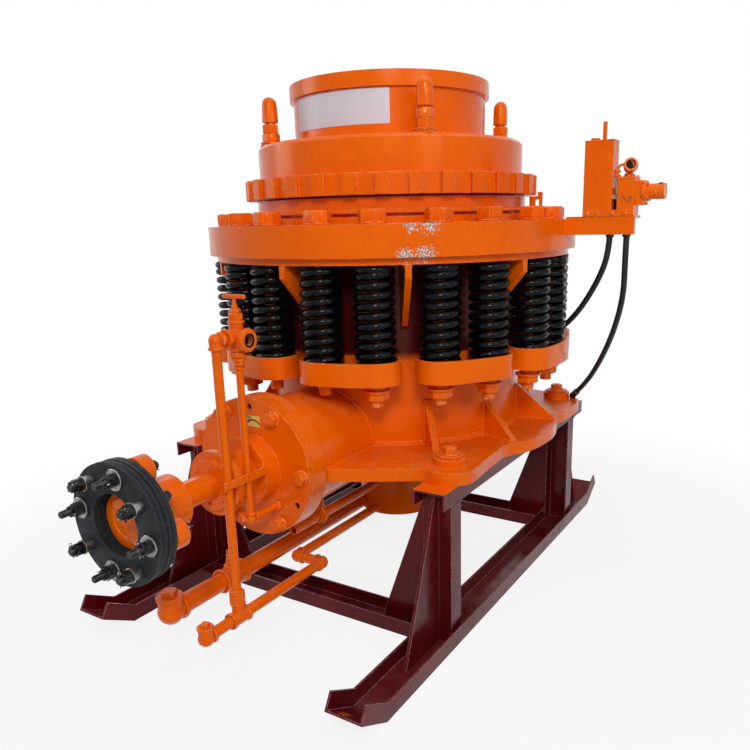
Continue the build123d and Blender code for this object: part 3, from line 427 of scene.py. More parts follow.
class Wires:
    """Adds nodes to one tree and links them by socket."""

    def __init__(self, tree):
        self.tree = tree

    def node(self, kind, **settings):
        made = self.tree.nodes.new(kind)
        for key, value in settings.items():
            setattr(made, key, value)
        return made

    def feed(self, node, socket, value):
        if isinstance(value, bpy.types.NodeSocket):
            self.tree.links.new(value, node.inputs[socket])
        else:
            node.inputs[socket].default_value = value

    def place(self):
        return self.node("ShaderNodeTexCoord").outputs["Object"]

    def without_height(self, vector):
        """The same place with its height taken away."""
        made = self.node("ShaderNodeVectorMath", operation="MULTIPLY")
        self.feed(made, 0, vector)
        self.feed(made, 1, (1.0, 1.0, 0.0))
        return made.outputs["Vector"]

    def noise(self, scale, detail=3.0, rough=0.5, vector=None):
        made = self.node("ShaderNodeTexNoise")
        self.feed(made, "Scale", scale)
        self.feed(made, "Detail", detail)
        self.feed(made, "Roughness", rough)
        self.feed(made, "Vector", vector or self.place())
        return made.outputs["Fac"]

    def math(self, operation, a, b=0.0, clamp=False):
        made = self.node("ShaderNodeMath", operation=operation, use_clamp=clamp)
        self.feed(made, 0, a)
        self.feed(made, 1, b)
        return made.outputs[0]

    def ramp(self, value, low, high, to_low=0.0, to_high=1.0):
        made = self.node("ShaderNodeMapRange", clamp=True, interpolation_type="SMOOTHSTEP")
        self.feed(made, "Value", value)
        self.feed(made, "From Min", low)
        self.feed(made, "From Max", high)
        self.feed(made, "To Min", to_low)
        self.feed(made, "To Max", to_high)
        return made.outputs["Result"]

    def mix(self, mask, a, b):
        made = self.node("ShaderNodeMix", data_type="RGBA")
        self.feed(made, 0, mask)
        self.feed(made, 6, a)
        self.feed(made, 7, b)
        return made.outputs[2]

    def bump(self, height, distance, strength=1.0, normal=None):
        made = self.node("ShaderNodeBump")
        self.feed(made, "Height", height)
        self.feed(made, "Distance", distance)
        self.feed(made, "Strength", strength)
        if normal is not None:
            self.feed(made, "Normal", normal)
        return made.outputs["Normal"]

    def seen(self):
        """1 on rays that show the background: from the camera, off gloss and through clear surfaces."""
        path = self.node("ShaderNodeLightPath")
        through = self.math("MAXIMUM", path.outputs["Is Glossy Ray"], path.outputs["Is Transmission Ray"])
        return self.math("MAXIMUM", path.outputs["Is Camera Ray"], through)

    def group(self, name, **inputs):
        made = self.node("ShaderNodeGroup", node_tree=bpy.data.node_groups[name])
        for label, value in inputs.items():
            self.feed(made, label.replace("_", " "), value)
        return made


def make_effects():
    """Paint film, a mask of worn and painted-highlit edges, chips at a place, and dust, each as a node group.
    """
    colour, number, vector = "NodeSocketColor", "NodeSocketFloat", "NodeSocketVector"
    group, given, out = effect_group(
        "paint film",
        [
            ("Full", colour, (1, 1, 1, 1)), ("Thin", colour, (0, 0, 0, 1)), ("Drift", number, 0.5),
            ("Wave", number, 0.0006), ("Peel", number, 0.00006), ("Edge radius", number, 0.002),
        ],
        [("Color", colour), ("Normal", vector)],
    )
    w = Wires(group)
    broad = w.noise(1.7, 3.0, 0.55)
    fine = w.noise(38.0, 2.0)
    both = w.math("ADD", w.math("MULTIPLY", broad, 0.8), w.math("MULTIPLY", fine, 0.2))
    mask = w.math("MULTIPLY", w.ramp(both, 0.42, 0.66), given.outputs["Drift"], clamp=True)
    w.tree.links.new(w.mix(mask, given.outputs["Full"], given.outputs["Thin"]), out.inputs["Color"])
    edge = w.node("ShaderNodeBevel", samples=4)
    w.feed(edge, "Radius", given.outputs["Edge radius"])
    wave = w.bump(w.noise(9.0, 2.0, 0.4), given.outputs["Wave"], 1.0, edge.outputs["Normal"])
    peel = w.bump(w.noise(260.0, 2.0), given.outputs["Peel"], 1.0, wave)
    w.tree.links.new(peel, out.inputs["Normal"])

    # Edge mask: paler edges, as wear on the skid, rails and disc, and as a painted highlight on the orange
    # paint and the cast cap
    group, given, out = effect_group(
        "edge wear and highlight",
        [("Radius", number, 0.003), ("Grain", number, 90.0), ("Amount", number, 0.5)],
        [("Mask", number)],
    )
    w = Wires(group)
    edge = w.node("ShaderNodeBevel", samples=4)
    w.feed(edge, "Radius", given.outputs["Radius"])
    flat = w.node("ShaderNodeNewGeometry")
    dot = w.node("ShaderNodeVectorMath", operation="DOT_PRODUCT")
    w.feed(dot, 0, edge.outputs["Normal"])
    w.feed(dot, 1, flat.outputs["Normal"])
    bend = w.ramp(dot.outputs["Value"], 0.985, 0.86)
    grain = w.noise(given.outputs["Grain"], 4.0, 0.65)
    broken = w.ramp(w.math("ADD", grain, w.math("MULTIPLY", given.outputs["Amount"], 0.35)), 0.52, 0.66)
    w.tree.links.new(w.math("MULTIPLY", bend, broken, clamp=True), out.inputs["Mask"])

    group, given, out = effect_group(
        "chips at a place",
        [("Centre", vector, (0, 0, 0)), ("Reach", number, 0.05), ("Grain", number, 160.0)],
        [("Mask", number)],
    )
    w = Wires(group)
    away = w.node("ShaderNodeVectorMath", operation="DISTANCE")
    w.feed(away, 0, w.place())
    w.feed(away, 1, given.outputs["Centre"])
    near = w.ramp(away.outputs["Value"], 0.0, given.outputs["Reach"], 0.34, 0.0)
    mask = w.ramp(w.math("ADD", w.noise(given.outputs["Grain"], 4.0, 0.7), near), 0.74, 0.78)
    inside = w.math("GREATER_THAN", near, 0.001)
    w.tree.links.new(w.math("MULTIPLY", mask, inside), out.inputs["Mask"])

    group, given, out = effect_group(
        "dust",
        [("Amount", number, 0.3), ("Grain", number, 14.0)],
        [("Mask", number)],
    )
    w = Wires(group)
    facing = w.node("ShaderNodeSeparateXYZ")
    w.feed(facing, "Vector", w.node("ShaderNodeNewGeometry").outputs["Normal"])
    lying = w.ramp(facing.outputs["Z"], 0.35, 0.95)
    cloud = w.ramp(w.noise(given.outputs["Grain"], 5.0, 0.6), 0.35, 0.75)
    both = w.math("MULTIPLY", lying, cloud)
    w.tree.links.new(w.math("MULTIPLY", both, given.outputs["Amount"], clamp=True), out.inputs["Mask"])


def finish(name, **sockets):
    """A material with a Principled shader, whose uniform values are set on its own sockets."""
    material = bpy.data.materials.new(name)
    material.use_nodes = True
    tree = material.node_tree
    tree.nodes.clear()
    w = Wires(tree)
    shader = w.node("ShaderNodeBsdfPrincipled")
    tree.links.new(shader.outputs["BSDF"], w.node("ShaderNodeOutputMaterial").inputs["Surface"])
    for label, value in sockets.items():
        shader.inputs[label.replace("_", " ")].default_value = value
    return w, shader


def full(colour):
    return (*colour, 1.0)


def coated(name, level, tint, colours, drift, wave, peel, edge):
    """A finish under a film of paint in a full and a thin colour, and the film's node."""
    w, shader = finish(name, Metallic=0.0, IOR=1.5, Specular_IOR_Level=level, Specular_Tint=full(tint))
    thick, thin = full(colours[0]), full(colours[1])
    film = w.group("paint film", Full=thick, Thin=thin, Drift=drift, Wave=wave, Peel=peel, Edge_radius=edge)
    return w, shader, film


def mottled(name, settings, pattern, reach, colours, gloss, shine, grain=None, depth=0.0):
    """A finish in two colours by a noise, with another or the same noise in its roughness."""
    w, shader = finish(name, **settings)
    cloud = w.noise(*pattern)
    mask = w.ramp(cloud, *reach) if reach else cloud
    w.feed(shader, "Base Color", w.mix(mask, full(linear(*colours[0])), full(linear(*colours[1]))))
    w.feed(shader, "Roughness", w.ramp(w.noise(*gloss) if gloss else cloud, *shine))
    if grain:
        w.feed(shader, "Normal", w.bump(w.noise(*grain), depth))


PLAIN = {"Metallic": 0.0, "IOR": 1.5}
SATIN = {"Metallic": 0.0, "IOR": 1.5, "Specular_IOR_Level": 0.25}
BORE = {"Metallic": 0.0, "IOR": 1.4, "Specular_IOR_Level": 0.15}
# Name, shader values, pattern and its range, colours, roughness noise and range, grain and its depth
MOTTLED_FINISHES = (
    (
        "hose rubber", SATIN, (30.0, 3.0), None, ((24, 24, 26), (40, 40, 42)),
        (60.0, 3.0), (0.3, 0.7, 0.42, 0.6), (500.0, 3.0, 0.6), 0.00015,
    ),
    (
        "bright steel", {"Metallic": 1.0}, (80.0, 5.0, 0.6), (0.3, 0.75),
        ((168, 168, 168), (112, 111, 109)), None, (0.3, 0.7, 0.26, 0.42), (400.0, 3.0), 0.0001,
    ),
    (
        "blackened steel", {"Metallic": 0.75}, (60.0, 4.0, 0.6), (0.35, 0.7), ((34, 34, 36), (66, 65, 64)),
        None, (0.3, 0.7, 0.28, 0.45), (350.0, 3.0), 0.00012,
    ),
    (
        "plate white", SATIN, (6.0, 3.0), None, ((214, 211, 218), (196, 195, 203)),
        (20.0, 3.0), (0.3, 0.7, 0.3, 0.4), (12.0, 2.0), 0.0003,
    ),
    (
        "plate yellow", PLAIN, (160.0, 3.0), (0.55, 0.75), ((226, 196, 66), (196, 184, 120)),
        (60.0, 3.0), (0.3, 0.7, 0.35, 0.45),
    ),
    (
        "plate green", PLAIN, (90.0, 3.0), None, ((96, 128, 74), (126, 146, 92)),
        (60.0, 3.0), (0.3, 0.7, 0.35, 0.5),
    ),
    # Near black: painted shade inside holes and bores, and the black knob, cable and screw of the hydraulic
    # unit
    (
        "hole shade and black parts", BORE, (120.0, 3.0), None, ((10, 9, 9), (22, 18, 16)),
        (80.0, 3.0), (0.3, 0.7, 0.5, 0.7),
    ),
    (
        "arrow red", PLAIN, (90.0, 3.0), None, ((150, 30, 16), (120, 22, 12)),
        (60.0, 3.0), (0.3, 0.7, 0.35, 0.5),
    ),
)


def make_finishes():
    """Every finish of the machine, from the colours of the paint settings."""
    paint = bpy.context.scene.crusher_paint
    make_effects()
    for row in MOTTLED_FINISHES:
        mottled(*row)
    orange, maroon = (paint.orange, paint.orange_thin), (paint.maroon, paint.maroon_thin)
    warm, cool = (1.0, 0.6, 0.32), (1.0, 0.55, 0.6)

    w, shader, film = coated("orange gloss paint", 0.3, warm, orange, 0.55, 0.0011, 0.00007, 0.003)
    dust = w.group("dust", Amount=0.16, Grain=16.0)
    colour = w.mix(dust.outputs["Mask"], film.outputs["Color"], full(linear(214, 150, 104)))
    # Paler edges here are a painted highlight along the edges, broken up by noise
    edge_wear_and_highlight = w.group("edge wear and highlight", Radius=0.0028, Grain=70.0, Amount=0.2)
    colour = w.mix(edge_wear_and_highlight.outputs["Mask"], colour, full(linear(255, 186, 126)))
    out = w.node("ShaderNodeVectorMath", operation="DISTANCE")
    w.feed(out, 0, w.without_height(w.place()))
    w.feed(out, 1, tuple(AXIS))
    # Dark maroon on the drum's wall behind the springs, up to the ring's underside: partly its primer, partly
    # painted shade under the ring
    behind = w.math("LESS_THAN", out.outputs["Value"], DRUM_WALL + 0.0075)
    level = w.node("ShaderNodeSeparateXYZ")
    w.feed(level, "Vector", w.place())
    behind = w.math("MULTIPLY", behind, w.ramp(level.outputs["Z"], 0.86, 0.9))
    behind = w.math(
        "MULTIPLY", behind, w.math("LESS_THAN", level.outputs["Z"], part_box("adjustment_ring")[0].z),
    )
    colour = w.mix(behind, colour, full(linear(70, 14, 22)))
    bare = None
    for x, y, z, reach in RING_CHIPS:
        chip = w.group(
            "chips at a place", Centre=tuple(spot(x, y, z)), Reach=reach, Grain=150.0,
        ).outputs["Mask"]
        bare = chip if bare is None else w.math("MAXIMUM", bare, chip)
    speck = w.noise(420.0, 2.0)
    chipped = w.mix(w.ramp(speck, 0.45, 0.55), full(linear(236, 228, 222)), full(linear(70, 52, 46)))
    w.feed(shader, "Base Color", w.mix(bare, colour, chipped))
    rough = w.math(
        "ADD", w.math("MULTIPLY", dust.outputs["Mask"], 1.2),
        w.ramp(w.noise(22.0, 3.0), 0.3, 0.7, 0.16, 0.28),
    )
    w.feed(shader, "Roughness", w.math("ADD", rough, w.math("MULTIPLY", bare, 0.3), clamp=True))
    w.feed(shader, "Normal", film.outputs["Normal"])

    w, shader, film = coated("rough cast orange", 0.3, warm, orange, 0.6, 0.0016, 0.00009, 0.005)
    lumps = w.bump(w.noise(120.0, 4.0, 0.6), 0.0011, 1.0, film.outputs["Normal"])
    # Paler edges of the cast cap are a painted highlight along its edges
    edge_wear_and_highlight = w.group("edge wear and highlight", Radius=0.004, Grain=55.0, Amount=0.2)
    w.feed(
        shader, "Base Color",
        w.mix(edge_wear_and_highlight.outputs["Mask"], film.outputs["Color"], full(linear(248, 178, 126))),
    )
    w.feed(shader, "Roughness", w.ramp(w.noise(40.0, 3.0), 0.3, 0.7, 0.22, 0.38))
    w.feed(shader, "Normal", lumps)

    w, shader, film = coated("skid paint", 0.25, cool, maroon, 0.8, 0.0008, 0.00012, 0.0015)
    edge_wear_and_highlight = w.group("edge wear and highlight", Radius=0.0028, Grain=120.0, Amount=0.4)
    dust = w.group("dust", Amount=0.35, Grain=9.0)
    colour = w.mix(dust.outputs["Mask"], film.outputs["Color"], full(linear(122, 84, 84)))
    colour = w.mix(edge_wear_and_highlight.outputs["Mask"], colour, full(linear(196, 150, 152)))
    over = w.group("chips at a place", Centre=tuple(spot(505, -1098, 58)), Reach=0.045, Grain=110.0)
    colour = w.mix(over.outputs["Mask"], colour, full(paint.orange))
    w.feed(shader, "Base Color", colour)
    rough = w.ramp(w.noise(12.0, 3.0), 0.35, 0.7, 0.16, 0.36)
    w.feed(
        shader, "Roughness",
        w.math("ADD", rough, w.math("MULTIPLY", edge_wear_and_highlight.outputs["Mask"], 0.2), clamp=True),
    )
    w.feed(shader, "Normal", film.outputs["Normal"])

    w, shader, film = coated("rail paint", 0.25, cool, maroon, 0.8, 0.0008, 0.00012, 0.0015)
    edge_wear_and_highlight = w.group("edge wear and highlight", Radius=0.0028, Grain=120.0, Amount=0.3)
    axes = w.node("ShaderNodeSeparateXYZ")
    w.feed(axes, "Vector", w.place())
    facing = w.node("ShaderNodeSeparateXYZ")
    w.feed(facing, "Vector", w.node("ShaderNodeNewGeometry").outputs["Normal"])
    top = w.math("GREATER_THAN", facing.outputs["Z"], 0.7)
    edge = w.math("ADD", axes.outputs["Z"], w.math("MULTIPLY", w.noise(30.0, 3.0), 0.004))
    high = w.ramp(edge, 0.5315, 0.5335)
    sprayed = w.math("MULTIPLY", top, high)
    colour = w.mix(sprayed, film.outputs["Color"], full(paint.orange))
    w.feed(shader, "Base Color", w.mix(edge_wear_and_highlight.outputs["Mask"], colour, full(linear(170, 140, 140))))
    w.feed(shader, "Roughness", w.ramp(w.noise(12.0, 3.0), 0.35, 0.7, 0.16, 0.36))
    w.feed(shader, "Normal", film.outputs["Normal"])

    black = (paint.black, linear(7, 7, 9))
    w, shader, film = coated("black enamel", 0.13, (1.0, 1.0, 1.0), black, 0.6, 0.0006, 0.0001, 0.0005)
    dust = w.group("dust", Amount=0.1, Grain=60.0)
    w.feed(
        shader, "Base Color", w.mix(dust.outputs["Mask"], film.outputs["Color"], full(linear(60, 58, 56))),
    )
    w.feed(shader, "Roughness", w.ramp(w.noise(55.0, 3.0), 0.35, 0.7, 0.08, 0.17))
    w.feed(shader, "Normal", film.outputs["Normal"])

    w, shader = finish("laminated rubber", Metallic=0.0, IOR=1.45, Specular_IOR_Level=0.2)
    cloud = w.ramp(w.noise(16.0, 5.0, 0.6), 0.35, 0.7)
    colour = w.mix(cloud, full(paint.rubber), full(linear(28, 29, 32)))
    scuff = w.ramp(w.noise(70.0, 5.0, 0.7), 0.6, 0.75)
    edge_wear_and_highlight = w.group("edge wear and highlight", Radius=0.0024, Grain=60.0, Amount=0.3)
    pale = w.math("MAXIMUM", w.math("MULTIPLY", scuff, 0.35), w.math("MULTIPLY", edge_wear_and_highlight.outputs["Mask"], 0.7))
    w.feed(shader, "Base Color", w.mix(pale, colour, full(linear(104, 106, 110))))
    w.feed(shader, "Roughness", w.ramp(cloud, 0.0, 1.0, 0.5, 0.7))
    w.feed(shader, "Normal", w.bump(w.noise(300.0, 4.0, 0.6), 0.0003))

    w, shader = finish("wear iron", Metallic=0.35)
    rust = w.ramp(w.noise(18.0, 6.0, 0.65), 0.35, 0.7)
    w.feed(shader, "Base Color", w.mix(rust, full(linear(92, 82, 76)), full(linear(104, 58, 36))))
    w.feed(shader, "Roughness", w.ramp(rust, 0.0, 1.0, 0.55, 0.8))
    w.feed(shader, "Normal", w.bump(w.noise(90.0, 5.0, 0.6), 0.0012))


CAD_FINISHES = {
    "orange gloss paint": (
        "main_frame foundation_bolts countershaft_cover countershaft_bearing countershaft coupling_hub"
        " spring_seats_front spring_seats_rear spring_bolts_front spring_bolts_rear adjustment_ring"
        " pawl_bracket bowl bowl_bolts feed_hopper hydraulic_bracket hydraulic_tank valve_block"
        " hydraulic_pump supply_pipe return_pipe open_pipe oil_valve valve_handle pipe_clamp"
    ),
    "rough cast orange": "toothed_cap",
    "skid paint": (
        "runner_left runner_right cross_beam_front cross_beam_rear post_front_left post_front_right"
        " post_rear_left post_rear_right"
    ),
    "rail paint": "rail_left rail_right",
    "black enamel": "springs_front springs_rear",
    "laminated rubber": "coupling_disc",
    "hose rubber": "hose_upper hose_lower hose_nipples",
    "blackened steel": "coupling_pins",
    "wear iron": "mantle bowl_liner",
}


class FinishCad(bpy.types.Operator):
    """Gives every CAD node its painted, rubber or iron finish"""

    bl_idname = "crusher.finish_cad"
    bl_label = "Paint the frame"

    def execute(self, context):
        make_finishes()
        left = set(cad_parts)
        for material, names in CAD_FINISHES.items():
            for name in names.split():
                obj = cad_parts[name]
                for slot in obj.material_slots:
                    slot.material = bpy.data.materials[material]
                left.discard(name)
        if left:
            raise RuntimeError("nodes without a finish: " + ", ".join(sorted(left)))
        return {"FINISHED"}


# Hoses: the points of their routes, in millimetres about the crusher's axis
HOSE_UPPER = (
    (826, 32, 1282), (826, 32, 1202), (778, 82, 1103), (697, 140, 988), (607, 186, 905),
    (499.3, 162.2, 880),
)
HOSE_LOWER = (
    (880, 32, 1282),
    (880, 32, 1177),
    (862, 105, 1046),
    (803, 212, 900),
    (728, 315, 769),
    (652, 411, 665),
    (585, 484, 600),
)


def hose_curve(name, points, node):
    """A NURBS curve of order 3 with the route's points as its control points, thick as the hose."""
    data = bpy.data.curves.new(name, "CURVE")
    data.dimensions = "3D"
    data.bevel_depth = 0.01
    data.bevel_resolution = 5
    data.resolution_u = 24
    data.use_fill_caps = True
    spline = data.splines.new("NURBS")
    spline.points.add(len(points) - 1)
    for point, (x, y, z) in zip(spline.points, points):
        point.co = (*spot(x, y, z), 1.0)
    spline.order_u = 3
    spline.use_endpoint_u = True
    data.materials.append(bpy.data.materials["hose rubber"])
    obj = bpy.data.objects.new(name, data)
    bpy.context.scene.collection.objects.link(obj)
    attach(obj, "frame")
    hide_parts(node)
    return obj


class AddHoses(bpy.types.Operator):
    """The two hydraulic hoses with their crimped ends"""

    bl_idname = "crusher.add_hoses"
    bl_label = "Hoses"

    def execute(self, context):
        hose_curve("hose_upper_rubber", HOSE_UPPER, "hose_upper")
        hose_curve("hose_lower_rubber", HOSE_LOWER, "hose_lower")
        parts = []
        for route in (HOSE_UPPER, HOSE_LOWER):
            for tip, before in ((route[0], route[1]), (route[-1], route[-2])):
                tip, before = spot(*tip), spot(*before)
                axis = (before - tip) / np.linalg.norm(before - tip)
                ferrule = [
                    (10.2, -2), (12.6, -2), (13.2, 1), (13.2, 4), (12.2, 6), (13.2, 8), (13.2, 14),
                    (12.2, 16), (13.2, 18), (13.2, 24), (12.4, 28), (10.1, 29),
                ]
                parts.append(revolved(ferrule, tip, axis, 24))
        piece("hose_crimps", parts, ["blackened steel"], "frame")
        return {"FINISHED"}


def spring_places(side):
    """Angle of the pair, number in the pair and own angle of each spring at the front or the rear."""
    s = bpy.context.scene.crusher_springs
    for middle in s.first_pair + np.arange(s.pairs) * 2 * np.pi / s.pairs:
        at_front = math.sin(middle) < 0.01 and math.cos(middle) > -0.99
        if at_front == (side == "front"):
            yield middle, 0, middle - s.pair_half
            yield middle, 1, middle + s.pair_half


def coil(centre, turn):
    """Helix: centre + R (cos t, sin t) and height, where the first and last turn lie nearly flat."""
    s = bpy.context.scene.crusher_springs
    mean = s.outer_radius - s.wire / 2
    turns = s.coils + 1.0
    t = np.linspace(0, turns, int(turns * 26))
    low, high = s.foot + s.wire * 0.5, s.head - s.wire * 0.5
    # Turns that close at each end, and how far in wire widths they press together
    closing, pressed = 0.75, 0.34
    rise = np.clip((t - closing) / (turns - 2 * closing), 0, 1)
    ends = pressed * s.wire * (np.minimum(t, closing) - np.minimum(turns - t, closing)) / closing
    height = low + (high - low) * rise * 0.965 + (high - low) * 0.0175 + ends
    height = np.clip(height, low, high)
    a = 2 * np.pi * t + turn
    path = np.stack((centre[0] + mean * np.cos(a), centre[1] + mean * np.sin(a), height), -1)
    radial = np.stack((np.cos(a), np.sin(a), np.zeros_like(a)), -1)
    return swept(path, radial, s.wire * 500, 14)


class AddSprings(bpy.types.Operator):
    """The twenty coiled release springs"""

    bl_idname = "crusher.add_springs"
    bl_label = "Springs"

    def execute(self, context):
        s = context.scene.crusher_springs
        for side in ("front", "rear"):
            parts = []
            for middle, k, a in spring_places(side):
                centre = AXIS + s.pitch_radius * np.array((math.cos(a), math.sin(a), 0))
                parts.append(coil(centre, 2.4 * k + 5.1 * middle))
            obj = piece("coil_springs_" + side, parts, ["black enamel"], "frame", 60)
            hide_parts("springs_" + side)
        return {"FINISHED"}


class AddCoupling(bpy.types.Operator):
    """The laminated rubber disc with its eight castle-nutted pins"""

    bl_idname = "crusher.add_coupling"
    bl_label = "Coupling"

    def execute(self, context):
        c = context.scene.crusher_coupling
        front = (DISC_LOW.y - AXIS[1]) * 1000
        back = (DISC_HIGH.y - AXIS[1]) * 1000
        origin = AXIS + UP * SHAFT_Z
        thick = (back - front) / c.layers
        outer, inner = c.disc_radius * 1000, c.disc_hole * 1000
        def layers(radius, groove, steps):
            """Sides of the belt layers from the front face back, with a groove between two of them."""
            rows = []
            for k in range(c.layers):
                h = -front - k * thick
                at = radius + steps[k % 4]
                rows += [(radius + groove, h - 1.1), (at, h - 2.5)]
                rows += [(at, h - thick + 2.5), (radius + groove, h - thick + 1.1)]
            return rows

        def wavy(profile, a):
            edge = np.sin(3 * a + profile[:, 1:] * 900) * 0.0022
            edge = edge + np.sin(11 * a + profile[:, 1:] * 1700) * 0.0011
            return 1 + edge - 0.003

        outside = layers(outer, -8, (0.0, -1.4, -0.4, -1.8))[::-1]
        inside = layers(inner, 7, (0.4, 1.6, 0.0, 1.2))
        disc = revolved(outside + inside, origin, FRONT, 160, True, ripple=wavy)
        obj = piece("laminated_disc", [disc], ["laminated rubber"], "countershaft", 25)
        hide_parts("coupling_disc")
        parts = []
        for k in range(8):
            a = c.pin_phase + k * math.pi / 4
            centre = origin + c.pin_circle * round_shaft(a)
            parts += coupling_pin(centre, -front, -back, k)
        obj = piece(
            "castle_nut_pins", parts, ["blackened steel", "bright steel"], "countershaft",
        )
        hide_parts("coupling_pins")
        return {"FINISHED"}


def castle_nut(origin, axis, turn, across=32.0, height=30.0, crown=10.0):
    """Hexagon below, and above it a crown cut by six slots."""
    corner = across / 2 / math.cos(math.pi / 6)
    base = hexagonal(
        [(15.4, 0), (corner, 1.5), (corner, height - crown - 1), (15.2, height - crown)], across, origin,
        axis, turn,
    )
    cols, slot_half = 72, 0.16
    a = np.linspace(0, 2 * np.pi, cols, endpoint=False)
    fold = (a + np.pi / 6) % (np.pi / 3) - np.pi / 6
    top = np.where(np.abs(fold) < slot_half, height - crown + 1.0, height)
    first, second, axis = cross_axes(axis)
    turned = a + math.radians(turn)
    ring = np.cos(turned)[:, None] * first + np.sin(turned)[:, None] * second
    rows = []
    for radius, level in (
        (14.9, np.full(cols, height - crown - 2.0)), (14.9, top - 1.2), (14.0, top), (11.4, top),
        (11.2, top - 1.0),
    ):
        rows.append(origin + radius / 1000 * ring + (level / 1000)[:, None] * axis)
    return [base, surface(np.array(rows))]


def split_pin(origin, axis, turn):
    """A bent wire: an eye on one side of the nut and two legs spread apart on the other."""
    first, second, axis = cross_axes(axis)
    t = math.radians(turn)
    across = math.cos(t) * first + math.sin(t) * second
    side = -math.sin(t) * first + math.cos(t) * second
    parts = []
    for sign in (-1, 1):
        s = np.linspace(0, 1, 12)
        out = -15 + 33 * s
        spreading = sign * (1.0 + 11.0 * np.clip(s - 0.72, 0, 1) ** 1.3 * 2.4)
        path = origin + (out / 1000)[:, None] * across + (spreading / 1000)[:, None] * axis
        parts.append(swept(path, side, 1.35, 8, paint=1))
    a = np.linspace(0, 2 * np.pi, 16, endpoint=False)
    eye = origin - across * 0.0185 + (3.4 * np.cos(a) / 1000)[:, None] * across + (
        3.4 * np.sin(a) / 1000
    )[:, None] * axis
    parts.append(swept(eye, side, 1.3, 8, True, paint=1))
    return parts


def coupling_pin(centre, face, back, k):
    """Bolt through the disc, front and back: washer or sleeve, castle nut, split pin and tip."""
    on_lobe = k % 2 == 0
    turn = 20.0 + 37.0 * k
    parts = []
    if on_lobe:
        washer = [(9, 0), (28.2, 0), (29, 0.8), (29, 4.6), (28, 5.6), (9, 5.6)]
        parts.append(revolved(washer, centre + FRONT * face / 1000, FRONT, 48, paint=1))
        rise = 6.0
    else:
        sleeve = [(9, 0), (17, 0), (17, 22), (16, 23), (9, 23)]
        parts.append(revolved(sleeve, centre + FRONT * face / 1000, FRONT, 40, paint=1))
        ring = [(9, 22.8), (19.5, 22.8), (20, 23.4), (20, 26.2), (19.4, 26.8), (9, 26.8)]
        parts.append(revolved(ring, centre + FRONT * face / 1000, FRONT, 40, paint=1))
        rise = 27.0
    seat = centre + FRONT * (face + rise) / 1000
    parts += castle_nut(seat, FRONT, turn)
    parts.append(threaded(10.0, 0, 62.0 - rise, seat, FRONT, 2.5, 0.9, 20))
    parts += split_pin(seat + FRONT * 0.0262, FRONT, turn + 90 * (k % 3))
    behind = (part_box("coupling_pins")[1].y - DISC_HIGH.y) * 1000 - 34.0
    reach = behind if on_lobe else 0.0
    seat = centre + FRONT * (back - reach) / 1000
    away = -FRONT
    parts.append(revolved([(9, 0), (20, 0), (20, 3), (9, 3)], seat, away, 32, paint=1))
    parts += castle_nut(seat + away * 0.003, away, turn, 32.0, 24.0, 8.0)
    parts.append(threaded(10.0, 0, 34.0, seat, away, 2.5, 0.9, 20))
    parts += split_pin(seat + away * 0.0245, away, turn + 40)
    return parts


def long_bolt(x, y, turn):
    """Bolt through spring and tray: head on the ring, and sleeve, washer and nut below the tray."""
    b = bpy.context.scene.crusher_bolts
    top, foot = b.ring_top * 1000, b.tray_foot * 1000
    above_barrel = abs(x) < BARREL_HALF and y < 0
    low = foot - (44 if above_barrel else 30)
    parts = [revolved([(16, low), (16, top + 10)], spot(x, y, 0), UP, 20)]
    washer = [(17, 0.3), (42.6, 0.3), (43.8, 1.6), (43.8, 5.6), (42.4, 7), (17, 7)]
    parts.append(revolved(washer, spot(x, y, top), UP, 40, True))
    parts.append(nut(b.head_across * 1000, 37, spot(x, y, top + 7), UP, turn, 1.0, 0.3))
    if above_barrel:
        collar = [(16, -11), (31.5, -11), (33, -9.5), (33, -1.8), (31.6, -0.4), (16, -0.4)]
        parts.append(revolved(collar, spot(x, y, foot), UP, 36, True))
        parts.append(revolved([(19, -44), (21, -42), (21, -10), (18, -8)], spot(x, y, foot), UP, 32))
        return parts
    sleeve = [(16, -22), (28.2, -22), (29, -21), (29, -1.4), (28.2, -0.4), (16, -0.4)]
    parts.append(revolved(sleeve, spot(x, y, foot), UP, 36, True))
    washer = [(16, -30), (43, -30), (44, -28.8), (44, -23.4), (42.8, -22), (16, -22)]
    parts += [
        revolved(washer, spot(x, y, foot), UP, 40, True),
        nut(68, 25, spot(x, y, foot - 30), -UP, turn + 17, 0.8, 0.9),
        threaded(21, 20, 49, spot(x, y, foot - 30), -UP, 4.0, 1.5, 24),
    ]
    return parts


class AddLongBolts(bpy.types.Operator):
    """The twenty long bolts through the springs"""

    bl_idname = "crusher.add_long_bolts"
    bl_label = "Spring bolts"

    def execute(self, context):
        s = context.scene.crusher_springs
        for side in ("front", "rear"):
            parts = []
            for middle, k, a in spring_places(side):
                x, y = s.pitch_radius * 1000 * math.cos(a), s.pitch_radius * 1000 * math.sin(a)
                parts += long_bolt(x, y, math.degrees(middle) + 23 * k + 7 * math.sin(9 * a))
            obj = painted("long_bolts_" + side, parts)
            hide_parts("spring_bolts_" + side)
        return {"FINISHED"}


